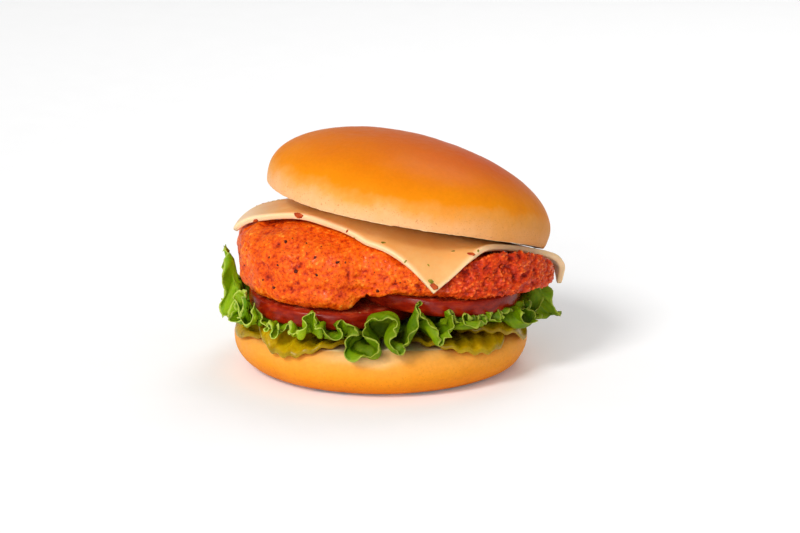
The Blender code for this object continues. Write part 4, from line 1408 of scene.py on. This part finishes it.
def lettuce_finish():
    material, tree, shader = new_material("curly_lettuce")
    out, blister = stored(tree, "out"), stored(tree, "blister")
    cloud = grain(tree, 0.0090, 3.0)
    leaf = graded(
        tree, cloud, (0.30, shown(88, 126, 2)), (0.50, shown(114, 150, 4)), (0.70, shown(146, 174, 10))
    )
    # Painted shade: the leaf is darker towards its inside, deep in the frill, where shade falls.
    deep = between(tree, out, 0.90, 0.74)
    leaf = blended(tree, maths(tree, "MULTIPLY", deep, 0.85), leaf, shown(34, 58, 4))
    veins = between(tree, blister, 0.30, 0.05)
    leaf = blended(tree, maths(tree, "MULTIPLY", veins, 0.35), leaf, shown(160, 184, 40))
    rim = between(tree, out, 0.988, 0.998)
    leaf = blended(tree, maths(tree, "MULTIPLY", rim, 0.65), leaf, shown(196, 206, 96))
    leaf = blended(tree, stored(tree, "shaded"), leaf, shown(216, 214, 190), "MULTIPLY")
    put(tree, leaf, shader.inputs["Base Color"])
    put(tree, between(tree, grain(tree, 0.003), 0.3, 0.7, 0.36, 0.52), shader.inputs["Roughness"])
    skin = relief(tree, grain(tree, 0.0011, 3.0), 0.00014)
    put(tree, relief(tree, grain(tree, 0.0004, 2.0), 0.00004, skin), shader.inputs["Normal"])
    shader.inputs["Specular IOR Level"].default_value = 0.10
    see_into(shader, 0.25, 0.0010, (0.6, 1.0, 0.08))
    return material


# Stage


def floor():
    mesh = bpy.data.meshes.new("pale_floor")
    reach = 6.0
    corners = [(-reach, -reach, 0.0), (reach, -reach, 0.0), (reach, reach, 0.0), (-reach, reach, 0.0)]
    mesh.from_pydata(corners, [], [(0, 1, 2, 3)])
    obj = bpy.data.objects.new("pale_floor", mesh)
    obj.location.z = -0.0001
    bpy.context.scene.collection.objects.link(obj)
    material, tree, shader = new_material("pale_paper")
    tone = between(tree, grain(tree, 0.02, 3.0), 0.3, 0.7, 0.94, 0.96)
    put(tree, add(tree, "CombineColor", {0: tone, 1: tone, 2: tone}).outputs[0], shader.inputs["Base Color"])
    shader.inputs["Roughness"].default_value = 0.85
    shader.inputs["Specular IOR Level"].default_value = 0.2
    shader.inputs["Emission Color"].default_value = (1.0, 1.0, 1.0, 1.0)
    shader.inputs["Emission Strength"].default_value = 0.08
    mesh.materials.append(material)


def aim(obj, target):
    obj.rotation_mode = "QUATERNION"
    obj.rotation_quaternion = (Vector(target) - obj.location).to_track_quat("-Z", "Y")


def soft_light(name, place, width, power, target=(0.0, 0.0, 0.035)):
    lamp = bpy.data.lights.new(name, "AREA")
    lamp.shape = "DISK"
    lamp.size = width
    lamp.energy = power
    obj = bpy.data.objects.new(name, lamp)
    obj.location = place
    bpy.context.scene.collection.objects.link(obj)
    aim(obj, target)


def lights():
    world = bpy.data.worlds.new("studio")
    bpy.context.scene.world = world
    world.use_nodes = True
    background = world.node_tree.nodes["Background"]
    background.inputs["Color"].default_value = (1.0, 1.0, 1.0, 1.0)
    background.inputs["Strength"].default_value = 0.42
    sun = bpy.data.lights.new("key", "SUN")
    sun.energy = 1.7
    sun.angle = math.radians(16.0)
    obj = bpy.data.objects.new("key", sun)
    obj.location = (-0.60, -0.85, 0.85)
    bpy.context.scene.collection.objects.link(obj)
    aim(obj, (0.0, 0.0, 0.0))
    soft_light("front_fill", (-0.45, -1.3, 0.40), 0.8, 7.5)
    soft_light("back_top", (0.35, 0.55, 1.05), 0.6, 3.0)


def camera():
    height_angle = math.radians(16.5)
    down, right = math.radians(14.37), math.radians(0.44)
    lens = bpy.data.cameras.new("camera")
    lens.sensor_width = 36.0
    lens.lens = 111.8
    lens.clip_start = 0.05
    lens.clip_end = 20.0
    obj = bpy.data.objects.new("camera", lens)
    obj.location = (0.0, -0.900 * math.cos(height_angle), 0.900 * math.sin(height_angle))
    look = Vector((math.sin(right) * math.cos(down), math.cos(right) * math.cos(down), -math.sin(down)))
    obj.rotation_mode = "QUATERNION"
    obj.rotation_quaternion = look.to_track_quat("-Z", "Y")
    bpy.context.scene.collection.objects.link(obj)
    bpy.context.scene.camera = obj


def main():
    dress(crown(), ["bun_crown"], crown_crust())
    dress(heel(), ["bun_heel"], heel_crust())
    brine = pickle_finish()
    for piece, name in pickles():
        dress(piece, [name], brine)
    ripe = tomato_finish()
    for piece, name in tomatoes():
        dress(piece, [name], ripe)
    dress(lettuce(), ["lettuce_leaf"], lettuce_finish())
    seasoning(dress(fillet(), ["chicken_fillet"], fillet_finish()))
    peppers_in_cheese(dress(cheese(), ["cheese_slice"], cheese_finish()))
    floor()
    lights()
    camera()
    bpy.context.scene.view_settings.view_transform = "Standard"


main()
